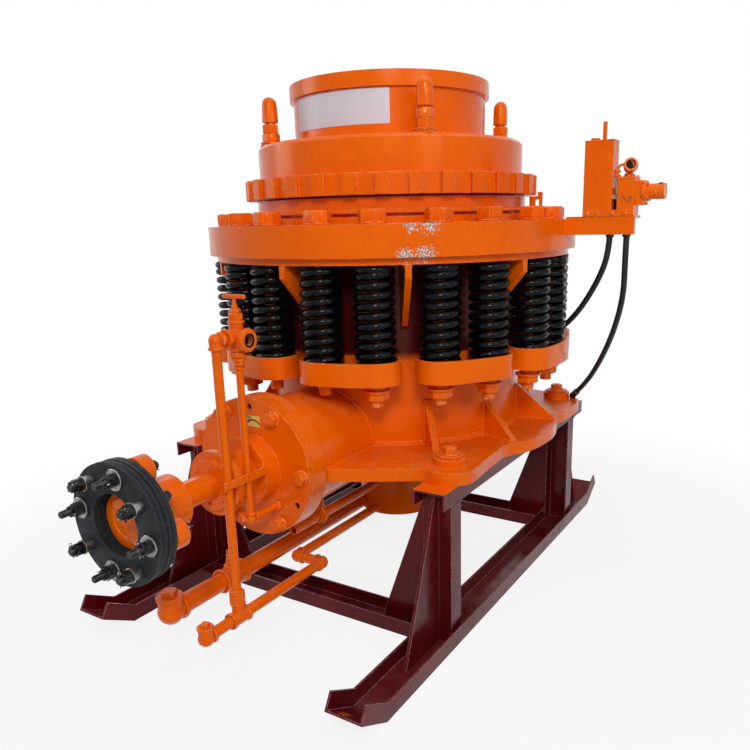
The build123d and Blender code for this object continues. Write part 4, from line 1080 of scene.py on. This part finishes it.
class AddBowlBolts(bpy.types.Operator):
    """The four bowl bolts: three washers, two nuts and a tall domed cap each"""

    bl_idname = "crusher.add_bowl_bolts"
    bl_label = "Bowl bolts"

    def execute(self, context):
        b = context.scene.crusher_bolts
        parts = []
        for k in range(4):
            a = b.bowl_phase + k * math.pi / 2
            foot = spot(
                b.bowl_circle * 1000 * math.cos(a), b.bowl_circle * 1000 * math.sin(a), b.bowl_top * 1000,
            )
            for i, radius in enumerate((40, 37, 39)):
                low = 0.3 + 5.2 * i
                rows = [
                    (10, low), (radius - 1, low), (radius, low + 1), (radius, low + 3.8),
                    (radius - 1, low + 4.8), (10, low + 4.8),
                ]
                tilt = UP + 0.012 * np.array((math.cos(3 * i + k), math.sin(3 * i + k), 0))
                parts.append(revolved(rows, foot, tilt, 40, True))
            turn = 11 + 31 * k
            parts += [
                nut(54, 29, foot + UP * 0.016, UP, turn, 0.7, 0.7),
                nut(52, 30, foot + UP * 0.0455, UP, turn + 19, 0.7, 0.7),
                threaded(19.5, 0, 20, foot + UP * 0.066, UP, 4, 1.4, 24),
            ]
            a = np.linspace(0, np.pi / 2, 8)
            dome = [(25.2 * math.cos(t), 62 + 25 * math.sin(t)) for t in a[:-1]] + [(0.8, 87)]
            cap = [(24.5, 0), (28.2, 1.6), (28.4, 10), (27.2, 30), (26.2, 52)] + dome
            parts.append(hexagonal(cap, 52, foot + UP * 0.0815, UP, turn + 7))
        obj = painted("capped_bolts", parts, "bowl", crease=28)
        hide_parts("bowl_bolts")
        return {"FINISHED"}


class AddFrameBolts(bpy.types.Operator):
    """Foundation bolts, the cover's bolts with washers, the seal's screws, and dark discs in the jacking
    holes as painted shade
    """

    bl_idname = "crusher.add_frame_bolts"
    bl_label = "Frame bolts"

    def execute(self, context):
        parts = []
        for k, (sx, sy) in enumerate(((-1, -1), (1, -1), (-1, 1), (1, 1))):
            foot = spot(sx * LUG_X, sy * LUG_Y, LUG_TOP)
            rows = [(12, 0.2), (42, 0.2), (43, 1.2), (43, 6.8), (41.8, 8), (12, 8)]
            parts.append(revolved(rows, foot, UP, 44, True))
            rows = [(12, 8), (30, 8), (31, 9), (31, 11), (30, 12), (12, 12)]
            parts += [
                revolved(rows, foot, UP, 36, True),
                nut(41, 19, foot + UP * 0.012, UP, 14 + 21 * k, 0.9, 0.4),
                threaded(11.5, 0, 4, foot + UP * 0.0295, UP, 2.5, 0.8, 20),
            ]
        obj = painted("foundation_nuts", parts)
        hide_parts("foundation_bolts")
        parts, holes = [], []
        centre = AXIS + UP * SHAFT_Z
        seal = np.array((AXIS[0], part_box("countershaft_bearing")[0].y, SHAFT_Z))
        for k in range(6):
            a = math.radians(60 * k)
            seat = centre + COVER_CIRCLE * round_shaft(a) + FRONT * COVER_FACE
            rows = [(12, 0.1), (22.6, 0.1), (23.4, 0.9), (23.4, 3.6), (22.6, 4.4), (12, 4.4)]
            parts.append(revolved(rows, seat, FRONT, 36, True))
            parts.append(nut(37.5, 24, seat + FRONT * 0.0008, FRONT, 9 * k, 0.9, 0.3, 0.8))
            a = math.radians(60 * k + 22)
            seat = seal + SEAL_CIRCLE * round_shaft(a)
            parts.append(nut(11, 5.5, seat, FRONT, 13 * k, 0.8, 0.3, 0.5, cols=30))
        # Dark discs at the floors of the jacking holes: painted shade
        for a in np.radians((90, 210, 330)):
            seat = centre + COVER_CIRCLE * round_shaft(a) + FRONT * (COVER_FACE - 0.0095)
            holes.append(revolved([(9.9, 0), (9.9, 0.8), (0.5, 1.2)], seat, FRONT, 24))
        painted("cover_bolts", parts)
        piece("jacking_hole_shade", holes, ["hole shade and black parts"], "frame")
        return {"FINISHED"}


def plain_bead(start, end, up, size, step=0.006, seed=0.0):
    """A bead along a straight line between two points in millimetres about the axis."""
    return bead(spread(spot(*start), spot(*end), step), up, size, seed)


def polar_bead(angle, side, first, last, size, step=0.006):
    """A bead beside a radial rib, between two points (radius, height) at the rib's angle."""
    a = math.radians(angle)
    out = np.array((math.cos(a), math.sin(a)))
    left = np.array((-math.sin(a), math.cos(a)))
    ends = []
    for radius, height in (first, last):
        flat = out * radius + left * side
        ends.append(spot(flat[0], flat[1], height))
    return bead(spread(ends[0], ends[1], step), np.append(left, 0), size, angle)


def post_welds(side, web, out, behind):
    """Beads of one post, whose web stands at y = web with its gusset on the out side and a beam behind it."""
    middle = side * POST_X
    inner = middle - side * 49
    face = web + out * 0.5
    rows = []
    for s in (-1, 1):
        x, wall = middle + s * 5, middle + s * 49
        cap = wall + s * 3
        rows += [
            ((x, face, 16), (x, face, 522), RIGHT, 4.2, 0.0025, s + side),
            ((x, web + out * 6, 6.5), (x, web + out * 204, 6.5), UP, 4.0, 0.003, s),
            ((cap, web - out * 4, 481), (cap, web - out * 62, 481), UP, 5.0, 0.0025, s + 3),
            ((wall, web, 7), (wall, web - out * 60, 7), UP, 3.6, 0.003, s + 5),
        ]
    rows.append(((middle - 46, face, 6.5), (middle + 46, face, 6.5), UP, 4.2, 0.0025, 7))
    for s in (-1, 1):
        y = web - out * behind + s * 5
        rows.append(((inner, y, 60), (inner, y, 478), RIGHT, 4.0, 0.003, s + 9))
    return [plain_bead(*row) for row in rows]


class AddWelds(bpy.types.Operator):
    """Weld beads of skid and ring, and the rounded corners of the casting"""

    bl_idname = "crusher.add_welds"
    bl_label = "Welds and fillets"

    def execute(self, context):
        parts = []
        for sx in (-1, 1):
            parts += post_welds(sx, -600, -1, 34) + post_welds(sx, 550, 1, 60)
        for pair in ((-625, -517), (401, 509)):
            for sx in (-1, 1):
                for y in pair:
                    parts.append(plain_bead((sx * 458, y, 4), (sx * 458, y, 49), FRONT, 3.8, 0.0025, y))
        piece("skid_welds", parts, ["skid paint"], "frame", 50)

        parts = []
        left_ribs = tuple((180 - angle, reach, rise) for angle, reach, rise in SIDE_RIBS)
        for angle, reach, rise in (*SIDE_RIBS, REAR_RIB, *left_ribs):
            for s in (-1, 1):
                parts.append(polar_bead(angle, s * 11, (DRUM_EDGE, 575 + rise - 3), (DRUM_EDGE, 582), 7.0))
                parts.append(polar_bead(angle, s * 11, (492, 575.5), (485 + reach - 6, 575.5), 6.0))
        for k in range(10):
            angle = -90 + 36 * k
            for s in (-1, 1):
                parts.append(polar_bead(angle, s * 10, (DRUM_EDGE, 974), (DRUM_EDGE, 1184), 4.6, 0.004))
                parts.append(polar_bead(angle, s * 10, (500, 1192.5), (654, 1192.5), 4.6, 0.004))
        t = np.radians(np.linspace(-2, 182, 130))
        x, z = 183 * np.cos(t), SHAFT_Z * 1000 + 183 * np.sin(t)
        seam = np.stack((x, -np.sqrt(486.0 ** 2 - x ** 2), z), -1) / 1000 + AXIS
        parts.append(bead(seam, UP * 0.3 + FRONT, 8.0, 3))
        for s in (-1, 1):
            parts.append(plain_bead((s * 190, -742, 575), (s * 187, -455, 575), UP, 6.5, 0.006, s))
        painted("casting_fillets", parts, crease=60)

        parts = []
        for y in (-0.8, 10.8):
            edge = math.sqrt(685.4 ** 2 - y ** 2)
            beside = y + (1 if y > 0 else -0.2)
            parts += [
                plain_bead((edge, y, 1264), (edge, y, 1312), RIGHT, 3.6, 0.0025, y),
                plain_bead((704, beside, 1320), (900, beside, 1320), UP, 1.2, 0.004, y),
            ]
        for s in (-7, 7):
            parts.append(polar_bead(15, s, (523, 1315), (563, 1315), 3.2, 0.0025))
        painted("ring_welds", parts, crease=50)

        foot = bead(circle(351.0, 1587.5, 3.5), UP, 6.2, 2, True)
        seam = bead(circle(487.4, 1470.5, 4.0), UP, 3.0, 5, True)
        painted("bowl_welds", [foot, seam], "bowl", crease=50)
        return {"FINISHED"}


def square_plug(origin, axis, across, height, turn=10.0):
    """Head of a pipe plug: a square with its corners cut by a cone at the top."""
    corner = across / 2 * math.sqrt(2)
    rows = [
        (corner * 0.9, 0), (corner, 1.0), (corner, height - 2.2), (corner * 0.82, height), (1.0, height),
    ]
    return hexagonal(rows, across, origin, axis, turn, sides=4, cols=48)


class AddPipeFittings(bpy.types.Operator):
    """Beads, unions and plugs of the cast pipe fittings, and the clamp on the open pipe"""

    bl_idname = "crusher.add_pipe_fittings"
    bl_label = "Pipe fittings"

    def execute(self, context):
        rx, ry, low = RISER_X, RISER_Y, RISER_Z
        parts = [
            band(spot(rx, -1180, 232), UP, 20.8, 3.4, 9),
            square_plug(spot(rx, -1180, 235), UP, 21, 12, 20),
            band(spot(rx, -1158, low), FRONT, 19.5, 4.6, 9),
        ]
        for y in (ry - 31, ry + 31):
            parts.append(band(spot(rx, y, low), FRONT, 21.8, 3.4, 9))
        parts += [
            band(spot(rx, ry, low + 46), UP, 18.9, 4.0, 8),
            nut(42, 20, spot(rx, ry, low + 52), UP, 8),
            revolved(
                [(13, 72), (19, 72), (20, 73.4), (20, 78), (18.6, 79.6), (13, 79.6)], spot(rx, ry, low), UP,
                32, True,
            ),
            nut(34, 9, spot(rx, ry, low + 79.4), UP, 25),
            band(spot(rx, ry, 1000), UP, 17.9, 3.6, 8),
            band(spot(rx, -1030, 1022), FRONT, 16.4, 5.0, 8),
            revolved([(13, -9), (18.6, -9), (18.6, 6), (13, 6)], spot(rx, -1034, 1022), FRONT, 28, True),
        ]
        for x, y, axis in (
            (rx, -672, FRONT), (rx - 21, -650, RIGHT), (-12 + 21, -650, RIGHT), (-12, -629, FRONT),
        ):
            parts.append(band(spot(x, y, low), axis, 17.5, 5.6, 9))
        painted("supply_fittings", parts)

        x, tee, z = RETURN_X, RETURN_TEE_Y, RETURN_Z
        parts = [
            band(spot(x, -1140, 257), UP, 36.1, 4.4, 11, 44),
            square_plug(spot(x, -1140, 261), UP, 38, 17, 33),
            band(spot(x, -1104, z), FRONT, 33.5, 6.0, 11, 44),
        ]
        for y in (-930, -840):
            parts.append(band(spot(x, y, z), FRONT, 36.1, 4.2, 11, 44))
        parts += [
            band(spot(x, tee, 246), UP, 12, 12.0, 12, 36),
            nut(32, 14, spot(x, tee, 252), UP, 12),
            band(spot(x, tee, 272), UP, 12, 3.4, 7, 28),
            band(spot(x, tee, 284), UP, 12, 2.6, 6, 28),
            square_plug(spot(x, tee, 288), UP, 17, 11, 5),
        ]
        painted("return_fittings", parts)

        parts = []
        x, z = OPEN_X, OPEN_Z
        for y in (-585, -551):
            parts.append(band(spot(x, y, z), FRONT, 22.6, 2.2, 6))
        a = np.radians(np.linspace(-250, 70, 40))
        strap = np.stack((24.6 * np.cos(a), np.full(40, 0.0), 24.6 * np.sin(a)), -1)
        strap = np.vstack((strap, (12.5, 0, 34), (12.5, 0, 44))) / 1000 + spot(x, OPEN_CLAMP_Y, z)
        parts.append(swept(strap, FRONT, 6.0, 8))
        parts.append(revolved([(4, -16), (4, 16)], spot(x + 4, OPEN_CLAMP_Y, z + 40), RIGHT, 16))
        for s in (-1, 1):
            wing = [(-4, -5), (4, -5), (7, 12), (3, 20), (-3, 20), (-7, 12)]
            parts.append(plate(wing, spot(x + 4 + s * 13, OPEN_CLAMP_Y, z + 44), FRONT * s, UP, 3.4, 1.0))
        painted("open_pipe_clamp", parts, crease=40)
        return {"FINISHED"}


class AddOilValve(bpy.types.Operator):
    """Nuts, unions and rims of the oil valve and its turning handle"""

    bl_idname = "crusher.add_oil_valve"
    bl_label = "Oil valve"

    def execute(self, context):
        x, y, z, elbow = VALVE_X, VALVE_Y, VALVE_Z, VALVE_ELBOW_Z
        parts = [
            nut(38, 15, spot(x, y, z + 49), UP, 14, 0.8, 0.6),
            nut(27, 13, spot(x, y, z + 64), UP, 40, 0.9, 0.5),
            band(spot(x, y, z + 40), UP, 20, 3.6, 7),
            band(spot(x, y, z - 34), UP, 20, 4.0, 9),
            nut(42, 17, spot(x, y, z - 58), UP, 7, 0.9, 0.9),
            band(spot(x, y, z - 64), UP, 10.6, 8.5, 9),
            nut(31, 12, spot(x, y, z - 81), UP, 33, 0.9, 0.9),
            band(spot(x, y, z - 88), UP, 10.6, 5.5, 8),
            nut(49, 12, spot(x, y - 46.5, z), -FRONT, 12),
        ]
        rim = [
            (15.2, 26), (29.6, 26), (32.4, 28), (33.2, 31), (33.2, 42), (31.8, 45), (29.0, 46.4),
            (20.6, 46.4), (19.6, 45.2), (15.2, 44.4),
        ]
        parts.append(revolved(rim, spot(x, y, z - 8), RIGHT, 44, True))
        for k in range(4):
            lead = [(13.9, 30.0 + 4 * k), (15.1, 29.2 + 4 * k), (15.1, 31.2 + 4 * k)]
            parts.append(revolved(lead, spot(x, y, z - 8), RIGHT, 36, True))
        parts += [
            band(spot(x, y, elbow + 17), UP, 10.6, 6.4, 8),
            band(spot(x, y + 17, elbow), FRONT, 10.6, 6.4, 8),
            nut(30, 11, spot(x, -861, elbow), -FRONT, 5),
        ]
        union = [
            (9, 8), (13, 9), (13, 15), (16.6, 16), (17, 17.4), (17, 23), (16, 24), (11, 24.6), (11, 30),
            (14.4, 31), (14.8, 37), (13.6, 38.4), (1, 38.6),
        ]
        parts.append(revolved(union, spot(x, y, elbow), -RIGHT, 32))
        painted("valve_fittings", parts)
        # A dark disc deep in the valve's port and a dark lining of its walls: painted shade inside the bore
        dark = [revolved([(14.8, 24), (14.8, 30), (0.5, 31)], spot(x, y, z - 8), RIGHT, 28)]
        mouth = [(14.9, 20), (14.9, 46.6), (19.8, 46.6), (19.8, 45.6), (15.2, 45.6), (15.2, 20)]
        dark.append(revolved(mouth[::-1], spot(x, y, z - 8), RIGHT, 36, True))
        piece("valve_bore_shade", dark, ["hole shade and black parts"], "frame")

        parts = []
        top = z + 110
        bar = [(1, -40), (5.0, -39.7), (5.8, -38.6), (6.2, -36), (6.0, -20), (6.2, -5), (6.2, 5)]
        bar += [(6.0, 20), (6.2, 36), (5.8, 38.6), (5.0, 39.7), (1, 40)]
        parts.append(revolved(bar, spot(x, y, top), RIGHT, 28))
        stem = [(8, 78.4), (9.2, 79), (9.2, 82), (7.4, 84), (5.8, 92), (4.8, 101), (4.6, 106), (4, 110)]
        parts.append(revolved(stem, spot(x, y, z), UP, 28))
        obj = painted("turning_handle", parts, "valve_handle", crease=40)
        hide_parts("valve_handle")
        return {"FINISHED"}


class AddHydraulics(bpy.types.Operator):
    """Screws, ports, caps and the short lines of the hydraulic unit"""

    bl_idname = "crusher.add_hydraulics"
    bl_label = "Hydraulic unit"

    def execute(self, context):
        parts, dark, bright = [], [], []
        strip = [(742, 0), (906, 0), (906, 19), (742, 19)]
        parts.append(plate(strip, spot(0, -0.2, 1321), RIGHT, UP, 3.2, 0.7))
        for x in (757, 791, 840, 881):
            parts.append(nut(8.6, 4, spot(x, -3.2, 1329), FRONT, x % 60, 0.8, 0.3, cols=30))
        for x in (872, 892.3):
            port = spot(x, -0.2, 1375)
            collar = [(5.0, 0), (8.0, 0), (8.4, 1.2), (8.0, 4), (5.4, 4), (5.0, 1)]
            plug = [(3.4, 0.8), (3.4, 2.6), (2.6, 3.2), (0.3, 3.3)]
            parts += [revolved(collar, port, FRONT, 28, True), revolved(plug, port, FRONT, 20)]
            # Dark disc round the plug inside the collar: painted shade in the gap
            dark.append(revolved([(5.0, 0.4), (5.0, 1.0), (0.4, 1.2)], port, FRONT, 20))
        rim = [(849.5, -1.5), (907.5, -1.5), (907.5, 61.5), (849.5, 61.5)]
        parts.append(plate(rim, spot(0, 0, 1433), RIGHT, -FRONT, 7.2, 1.2))
        for x, y in ((857, 6), (900, 6), (857, 54), (900, 54)):
            parts.append(nut(9, 5, spot(x, y, 1440), UP, x % 60, 0.8, 0.3, cols=30))
        axis = np.array((0.28, -0.95, 0.12))
        axis = axis / np.linalg.norm(axis)
        centre = spot(882, 26, 1474)
        body = [
            (13, -30), (19.5, -29), (20.5, -26), (20.5, -10), (18.4, -8), (18.4, 10), (20.4, 12), (21, 15),
            (21, 27), (20, 29.4), (15.6, 29.4), (14.2, 27.8), (14.2, -24), (13, -25),
        ]
        parts.append(revolved(body, centre, axis, 44, True))
        # Dark floor in the fitting's open port: painted shade
        dark.append(revolved([(14.9, 20.5), (14.9, 24.6), (0.5, 25.2)], centre, axis, 28))
        back = [(1, -33), (11, -33), (12, -31.6), (12, -27), (13.2, -25.6), (1, -25)]
        parts += [
            hexagonal(back, 22, centre, axis, 10),
            nut(27, 11, spot(879, 30, 1440), UP, 21, 0.8, 0.6),
            revolved([(8, 0), (11, 1), (11, 3), (8.6, 4), (8.6, 11), (7, 12)], spot(879, 30, 1450), UP, 24),
        ]
        route = (
            (866, 20, 1478), (858, 16, 1479), (850, 14, 1474), (846, 14, 1464), (845, 14, 1452),
            (845, 14, 1440),
        )
        line = np.array([spot(*point) for point in route])
        fine = np.linspace(0, len(line) - 1, 26)
        smooth = np.stack([np.interp(fine, np.arange(len(line)), line[:, i]) for i in range(3)], -1)
        for _ in range(3):
            smooth[1:-1] = (smooth[:-2] + smooth[1:-1] * 2 + smooth[2:]) / 4
        parts.append(swept(smooth, FRONT, 4.2, 12))
        for h in (0, 13):
            parts.append(nut(17, 10, spot(FITTING_X, FITTING_Y, BLOCK_TOP + h), UP, 9 + h))
        bright.append(revolved([(3.8, 0), (3.8, 60)], spot(FITTING_X, FITTING_Y, BLOCK_TOP - 60), UP, 14))
        parts.append(nut(19, 10, spot(834.2, 30, 1398), RIGHT, 12))
        bright.append(nut(15, 9, spot(842, 30, 1374), RIGHT, 25))
        knob = [(7.6, 0), (8.2, 1), (8.2, 15), (7.6, 16.4)]
        dark.append(revolved(knob, spot(834.3, 30, 1366), RIGHT, 22))
        dark.append(revolved([(6, 0), (6, 34), (4, 36)], spot(840, 30, 1322), UP, 18))
        cap = [(11, 0.3), (13.6, 0.6), (14.2, 2), (14.2, 7), (13.2, 8.8), (6, 9.6), (0.6, 9.8)]
        parts.append(hexagonal(cap, 27.6, spot(765, 30, 1556), UP, 0, sides=12))
        flag = [
            (2.6, 0), (9.4, 0), (11.6, 11), (12.2, 23), (10.8, 36), (8.4, 49), (6.6, 56), (5.6, 56),
            (3.2, 49), (1.0, 36), (-0.2, 23), (0.4, 11),
        ]
        parts.append(plate(flag, spot(793, 18, 1556), RIGHT, UP, 5.6, 1.2))
        lip = [(740.4, -0.8), (834.6, -0.8), (834.6, 60.8), (740.4, 60.8)]
        parts.append(plate(lip, spot(0, 0, 1552.4), RIGHT, -FRONT, 4.4, 1.0))
        for y in (9, 51):
            for z in (1359, 1421):
                parts.append(nut(13, 9, spot(PUMP_X, y, z), RIGHT, y + z, 0.8, 0.3))
        pump = spot(PUMP_X, PUMP_Y, PUMP_Z)
        collar = [(24, 0), (33, 0), (34, 1.4), (34, 11), (32.6, 12.6), (24, 13)]
        ring = [(24, 40), (25.4, 41), (25.4, 43.4), (24, 44.4)]
        parts += [revolved(collar, pump, RIGHT, 48, True), revolved(ring, pump, RIGHT, 44, True)]
        for a in (35, 125, 215, 305):
            t = math.radians(a)
            place = spot(PUMP_X + 13, PUMP_Y + 28 * math.cos(t), PUMP_Z + 28 * math.sin(t))
            parts.append(nut(10, 7, place, RIGHT, a, 0.8, 0.3, cols=30))
        motor = [(23.4, 0), (24.6, 0.8), (24.6, 20), (21, 24.2), (9, 25.2), (8.4, 25.8), (0.6, 25.9)]
        parts.append(revolved(motor, spot(967.8, PUMP_Y, PUMP_Z), RIGHT, 44))
        screw = [(6.4, 0), (7, 0.8), (6, 2.4), (0.5, 2.6)]
        dark.append(revolved(screw, spot(980, PUMP_Y - 6, 1416.6), UP, 20))
        painted("hydraulic_fittings", parts)
        piece("hydraulic_shade_and_black_parts", dark, ["hole shade and black parts"], "frame")
        piece("hydraulic_line", bright, ["bright steel"], "frame")
        return {"FINISHED"}


class AddHubFace(bpy.types.Operator):
    """Nose of the coupling hub in the disc's hole, with its turned rings, and a dark disc as painted shade of
    its centre hole
    """

    bl_idname = "crusher.add_hub_face"
    bl_label = "Hub face"

    def execute(self, context):
        hub = np.array((AXIS[0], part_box("coupling_hub")[0].y, SHAFT_Z))
        nose = [(40, -4), (77.6, -4), (77.6, 22.4), (76.8, 23.6), (75.2, 24), (0.6, 24)]
        parts = [revolved(nose, hub, FRONT, 72)]
        face = hub + FRONT * HUB_NOSE
        rows = [(46, -0.5), (46, 1.4), (46.8, 2.2), (61.4, 2.2), (62.4, 1.4), (62.4, -0.5)]
        parts.append(revolved(rows[::-1], face, FRONT, 60, True))
        rows = [(5, -0.5), (5, 0.6), (5.6, 1.2), (26.4, 1.2), (27.2, 0.6), (27.2, -0.5)]
        parts.append(revolved(rows[::-1], face, FRONT, 44, True))
        painted("hub_face_rings", parts, "countershaft")
        # A dark disc on the face stands in for the centre hole: painted shade
        dark = [revolved([(5.0, 0.1), (5.0, 0.7), (0.5, 0.9)], face, FRONT, 24)]
        piece("hub_centre_hole_shade", dark, ["hole shade and black parts"], "countershaft")
        return {"FINISHED"}


def curved_plate(radius, start, end, low, high, thick):
    """Thin plate wrapped round the axis: (radius + t) (cos a, sin a) and z, 0.3 mm off the wall."""
    a = np.radians(np.linspace(start, end, 46))
    section = [
        (0.3, low + 1), (0.3, high - 1), (thick * 0.5, high), (thick, high - 0.8), (thick, low + 0.8),
        (thick * 0.5, low),
    ]
    rows = []
    for angle in a:
        out = np.array((math.cos(angle), math.sin(angle), 0.0))
        rows.append([AXIS + out * (radius + t) / 1000 + UP * z / 1000 for t, z in section])
    return surface(np.array(rows)[:, ::-1])


class AddPlates(bpy.types.Operator):
    """A blank white plate on the hopper and a small plate with a turning arrow on the cover"""

    bl_idname = "crusher.add_plates"
    bl_label = "Plates"

    def execute(self, context):
        white = curved_plate(350.0, -123.2, -57.9, 1629, 1739, 1.2)
        piece("blank_plate", [white], ["plate white"], "bowl")
        origin = spot(-17, -848.3, 721.8)
        parts = [plate([(0, 0), (58, 0), (58, 34), (0, 34)], origin, RIGHT, UP, 0.9, 0.2)]
        face = origin + FRONT * 0.0008
        parts.append(plate([(1, 24), (26, 24), (22, 33), (1, 33)], face, RIGHT, UP, 0.3, 0.1, 2))
        t = np.radians(np.linspace(38, 118, 16))
        middle = np.stack((30 + 36 * np.cos(t), -12 + 33 * np.sin(t)), -1)
        wide = np.linspace(2.6, 3.6, 16)
        normal = np.stack((np.cos(t), np.sin(t)), -1)
        upper, lower = middle + normal * wide[:, None], middle - normal * wide[:, None]
        for k in range(15):
            quad = [lower[k], upper[k], upper[k + 1], lower[k + 1]]
            parts.append(plate(quad, face, RIGHT, UP, 0.5, 0.02, 1))
        tip = middle[-1]
        point = [tip + (-11, -4), tip + (2.5, -8), tip + (4.5, 6)]
        parts.append(plate(point, face, RIGHT, UP, 0.5, 0.05, 1))
        piece("turning_arrow", parts, ["plate yellow", "arrow red", "plate green"], "frame")
        return {"FINISHED"}


FLOOR_HALF = 30.0
# The camera as fitted to the photo: place in metres, direction, roll in degrees and shift in picture widths
CAMERA_PLACE = (1.3515, -2.137, 1.3205)
CAMERA_FORWARD = (-0.5139, 0.8216, -0.2477)
CAMERA_ROLL = -1.33
CAMERA_SHIFT = (-0.02863, 0.03941)


class AddStage(bpy.types.Operator):
    """Pale floor, soft lamps and the camera"""

    bl_idname = "crusher.add_stage"
    bl_label = "Stage"

    def execute(self, context):
        stage = context.scene.crusher_stage
        size = FLOOR_HALF
        mesh = bpy.data.meshes.new("floor")
        mesh.from_pydata(
            [(-size, -size, -0.001), (size, -size, -0.001), (size, size, -0.001), (-size, size, -0.001)],
            [], [(0, 1, 2, 3)],
        )
        floor = bpy.data.objects.new("floor", mesh)
        context.scene.collection.objects.link(floor)
        material = bpy.data.materials.new("floor")
        material.use_nodes = True
        tree = material.node_tree
        tree.nodes.clear()
        w = Wires(tree)
        shade = stage.floor_shade
        matte = w.node("ShaderNodeBsdfDiffuse")
        w.feed(matte, "Color", (shade, shade, shade, 1))
        glow = w.node("ShaderNodeEmission")
        w.feed(glow, "Color", (1, 1, 1, 1))
        w.feed(glow, "Strength", 1.0)
        away = w.node("ShaderNodeVectorMath", operation="LENGTH")
        w.feed(away, 0, w.place())
        fade = w.ramp(away.outputs["Value"], 1.3, 2.6, stage.floor_glow, 1.0)
        both = w.node("ShaderNodeMixShader")
        w.feed(both, 0, w.math("MULTIPLY", w.seen(), fade))
        tree.links.new(matte.outputs[0], both.inputs[1])
        tree.links.new(glow.outputs[0], both.inputs[2])
        tree.links.new(both.outputs[0], w.node("ShaderNodeOutputMaterial").inputs["Surface"])
        mesh.materials.append(material)

        world = bpy.data.worlds.new("hall")
        context.scene.world = world
        world.use_nodes = True
        tree = world.node_tree
        tree.nodes.clear()
        w = Wires(tree)
        soft = w.node("ShaderNodeBackground")
        w.feed(soft, "Color", (0.93, 0.96, 1.0, 1))
        w.feed(soft, "Strength", stage.world)
        plain = w.node("ShaderNodeBackground")
        w.feed(plain, "Color", (1, 1, 1, 1))
        w.feed(plain, "Strength", 1.0)
        both = w.node("ShaderNodeMixShader")
        w.feed(both, 0, w.seen())
        tree.links.new(soft.outputs[0], both.inputs[1])
        tree.links.new(plain.outputs[0], both.inputs[2])
        tree.links.new(both.outputs[0], w.node("ShaderNodeOutputWorld").inputs["Surface"])

        aim = Vector(spot(0, 0, 900))
        lamps = (
            ("key", (2.4, -3.6, 3.4), 1.1, stage.key_power),
            ("fill", (4.2, -1.8, 2.6), 1.4, stage.fill_power),
            ("top", (0.9, -0.6, 5.2), 2.0, stage.top_power),
            ("left", (-4.2, -1.6, 2.4), 1.6, stage.fill_power * 0.8),
            ("back", (-3.4, 3.6, 3.6), 2.0, stage.fill_power),
        )
        for name, place, width, power in lamps:
            data = bpy.data.lights.new(name, "AREA")
            data.shape = "SQUARE"
            data.size = width
            data.energy = power
            lamp = bpy.data.objects.new(name, data)
            context.scene.collection.objects.link(lamp)
            lamp.location = place
            lamp.rotation_mode = "QUATERNION"
            lamp.rotation_quaternion = (aim - Vector(place)).to_track_quat("-Z", "Y")

        place = Vector(CAMERA_PLACE)
        forward = Vector(CAMERA_FORWARD).normalized()
        right = forward.cross(Vector((0, 0, 1))).normalized()
        up = right.cross(forward)
        roll = math.radians(CAMERA_ROLL)
        tilted = right * math.cos(roll) + up * math.sin(roll)
        upright = up * math.cos(roll) - right * math.sin(roll)
        data = bpy.data.cameras.new("camera")
        data.sensor_width = 36.0
        data.sensor_fit = "HORIZONTAL"
        data.lens = stage.lens
        data.shift_x, data.shift_y = CAMERA_SHIFT
        camera = bpy.data.objects.new("camera", data)
        context.scene.collection.objects.link(camera)
        turn = Matrix((tilted, upright, -forward)).transposed().to_4x4()
        camera.matrix_world = Matrix.Translation(place) @ turn
        context.scene.camera = camera
        context.scene.view_settings.view_transform = "Standard"
        return {"FINISHED"}


class CrusherPanel(bpy.types.Panel):
    """Lists the pieces and the sizes"""

    bl_label = "Cone crusher"
    bl_idname = "VIEW3D_PT_cone_crusher"
    bl_space_type = "VIEW_3D"
    bl_region_type = "UI"
    bl_category = "Crusher"

    def draw(self, context):
        for operator in OPERATORS:
            self.layout.operator(operator.bl_idname)
        for name, _ in GROUPS:
            group = getattr(context.scene, name)
            box = self.layout.box()
            for key in group.__class__.__annotations__:
                box.prop(group, key)


GROUPS = (
    ("crusher_springs", CrusherSprings),
    ("crusher_bolts", CrusherBolts),
    ("crusher_coupling", CrusherCoupling),
    ("crusher_paint", CrusherPaint),
    ("crusher_stage", CrusherStage),
)
OPERATORS = (
    FinishCad,
    AddHoses,
    AddSprings,
    AddCoupling,
    AddLongBolts,
    AddBowlBolts,
    AddFrameBolts,
    AddWelds,
    AddPipeFittings,
    AddOilValve,
    AddHydraulics,
    AddHubFace,
    AddPlates,
    AddStage,
)


def register():
    for name, group in GROUPS:
        bpy.utils.register_class(group)
        setattr(bpy.types.Scene, name, PointerProperty(type=group))
    for operator in OPERATORS:
        bpy.utils.register_class(operator)
    bpy.utils.register_class(CrusherPanel)


def unregister():
    bpy.utils.unregister_class(CrusherPanel)
    for operator in reversed(OPERATORS):
        bpy.utils.unregister_class(operator)
    for name, group in reversed(GROUPS):
        delattr(bpy.types.Scene, name)
        bpy.utils.unregister_class(group)


def main():
    register()
    for operator in OPERATORS:
        group, name = operator.bl_idname.split(".")
        getattr(getattr(bpy.ops, group), name)()


if __name__ == "__main__":
    main()
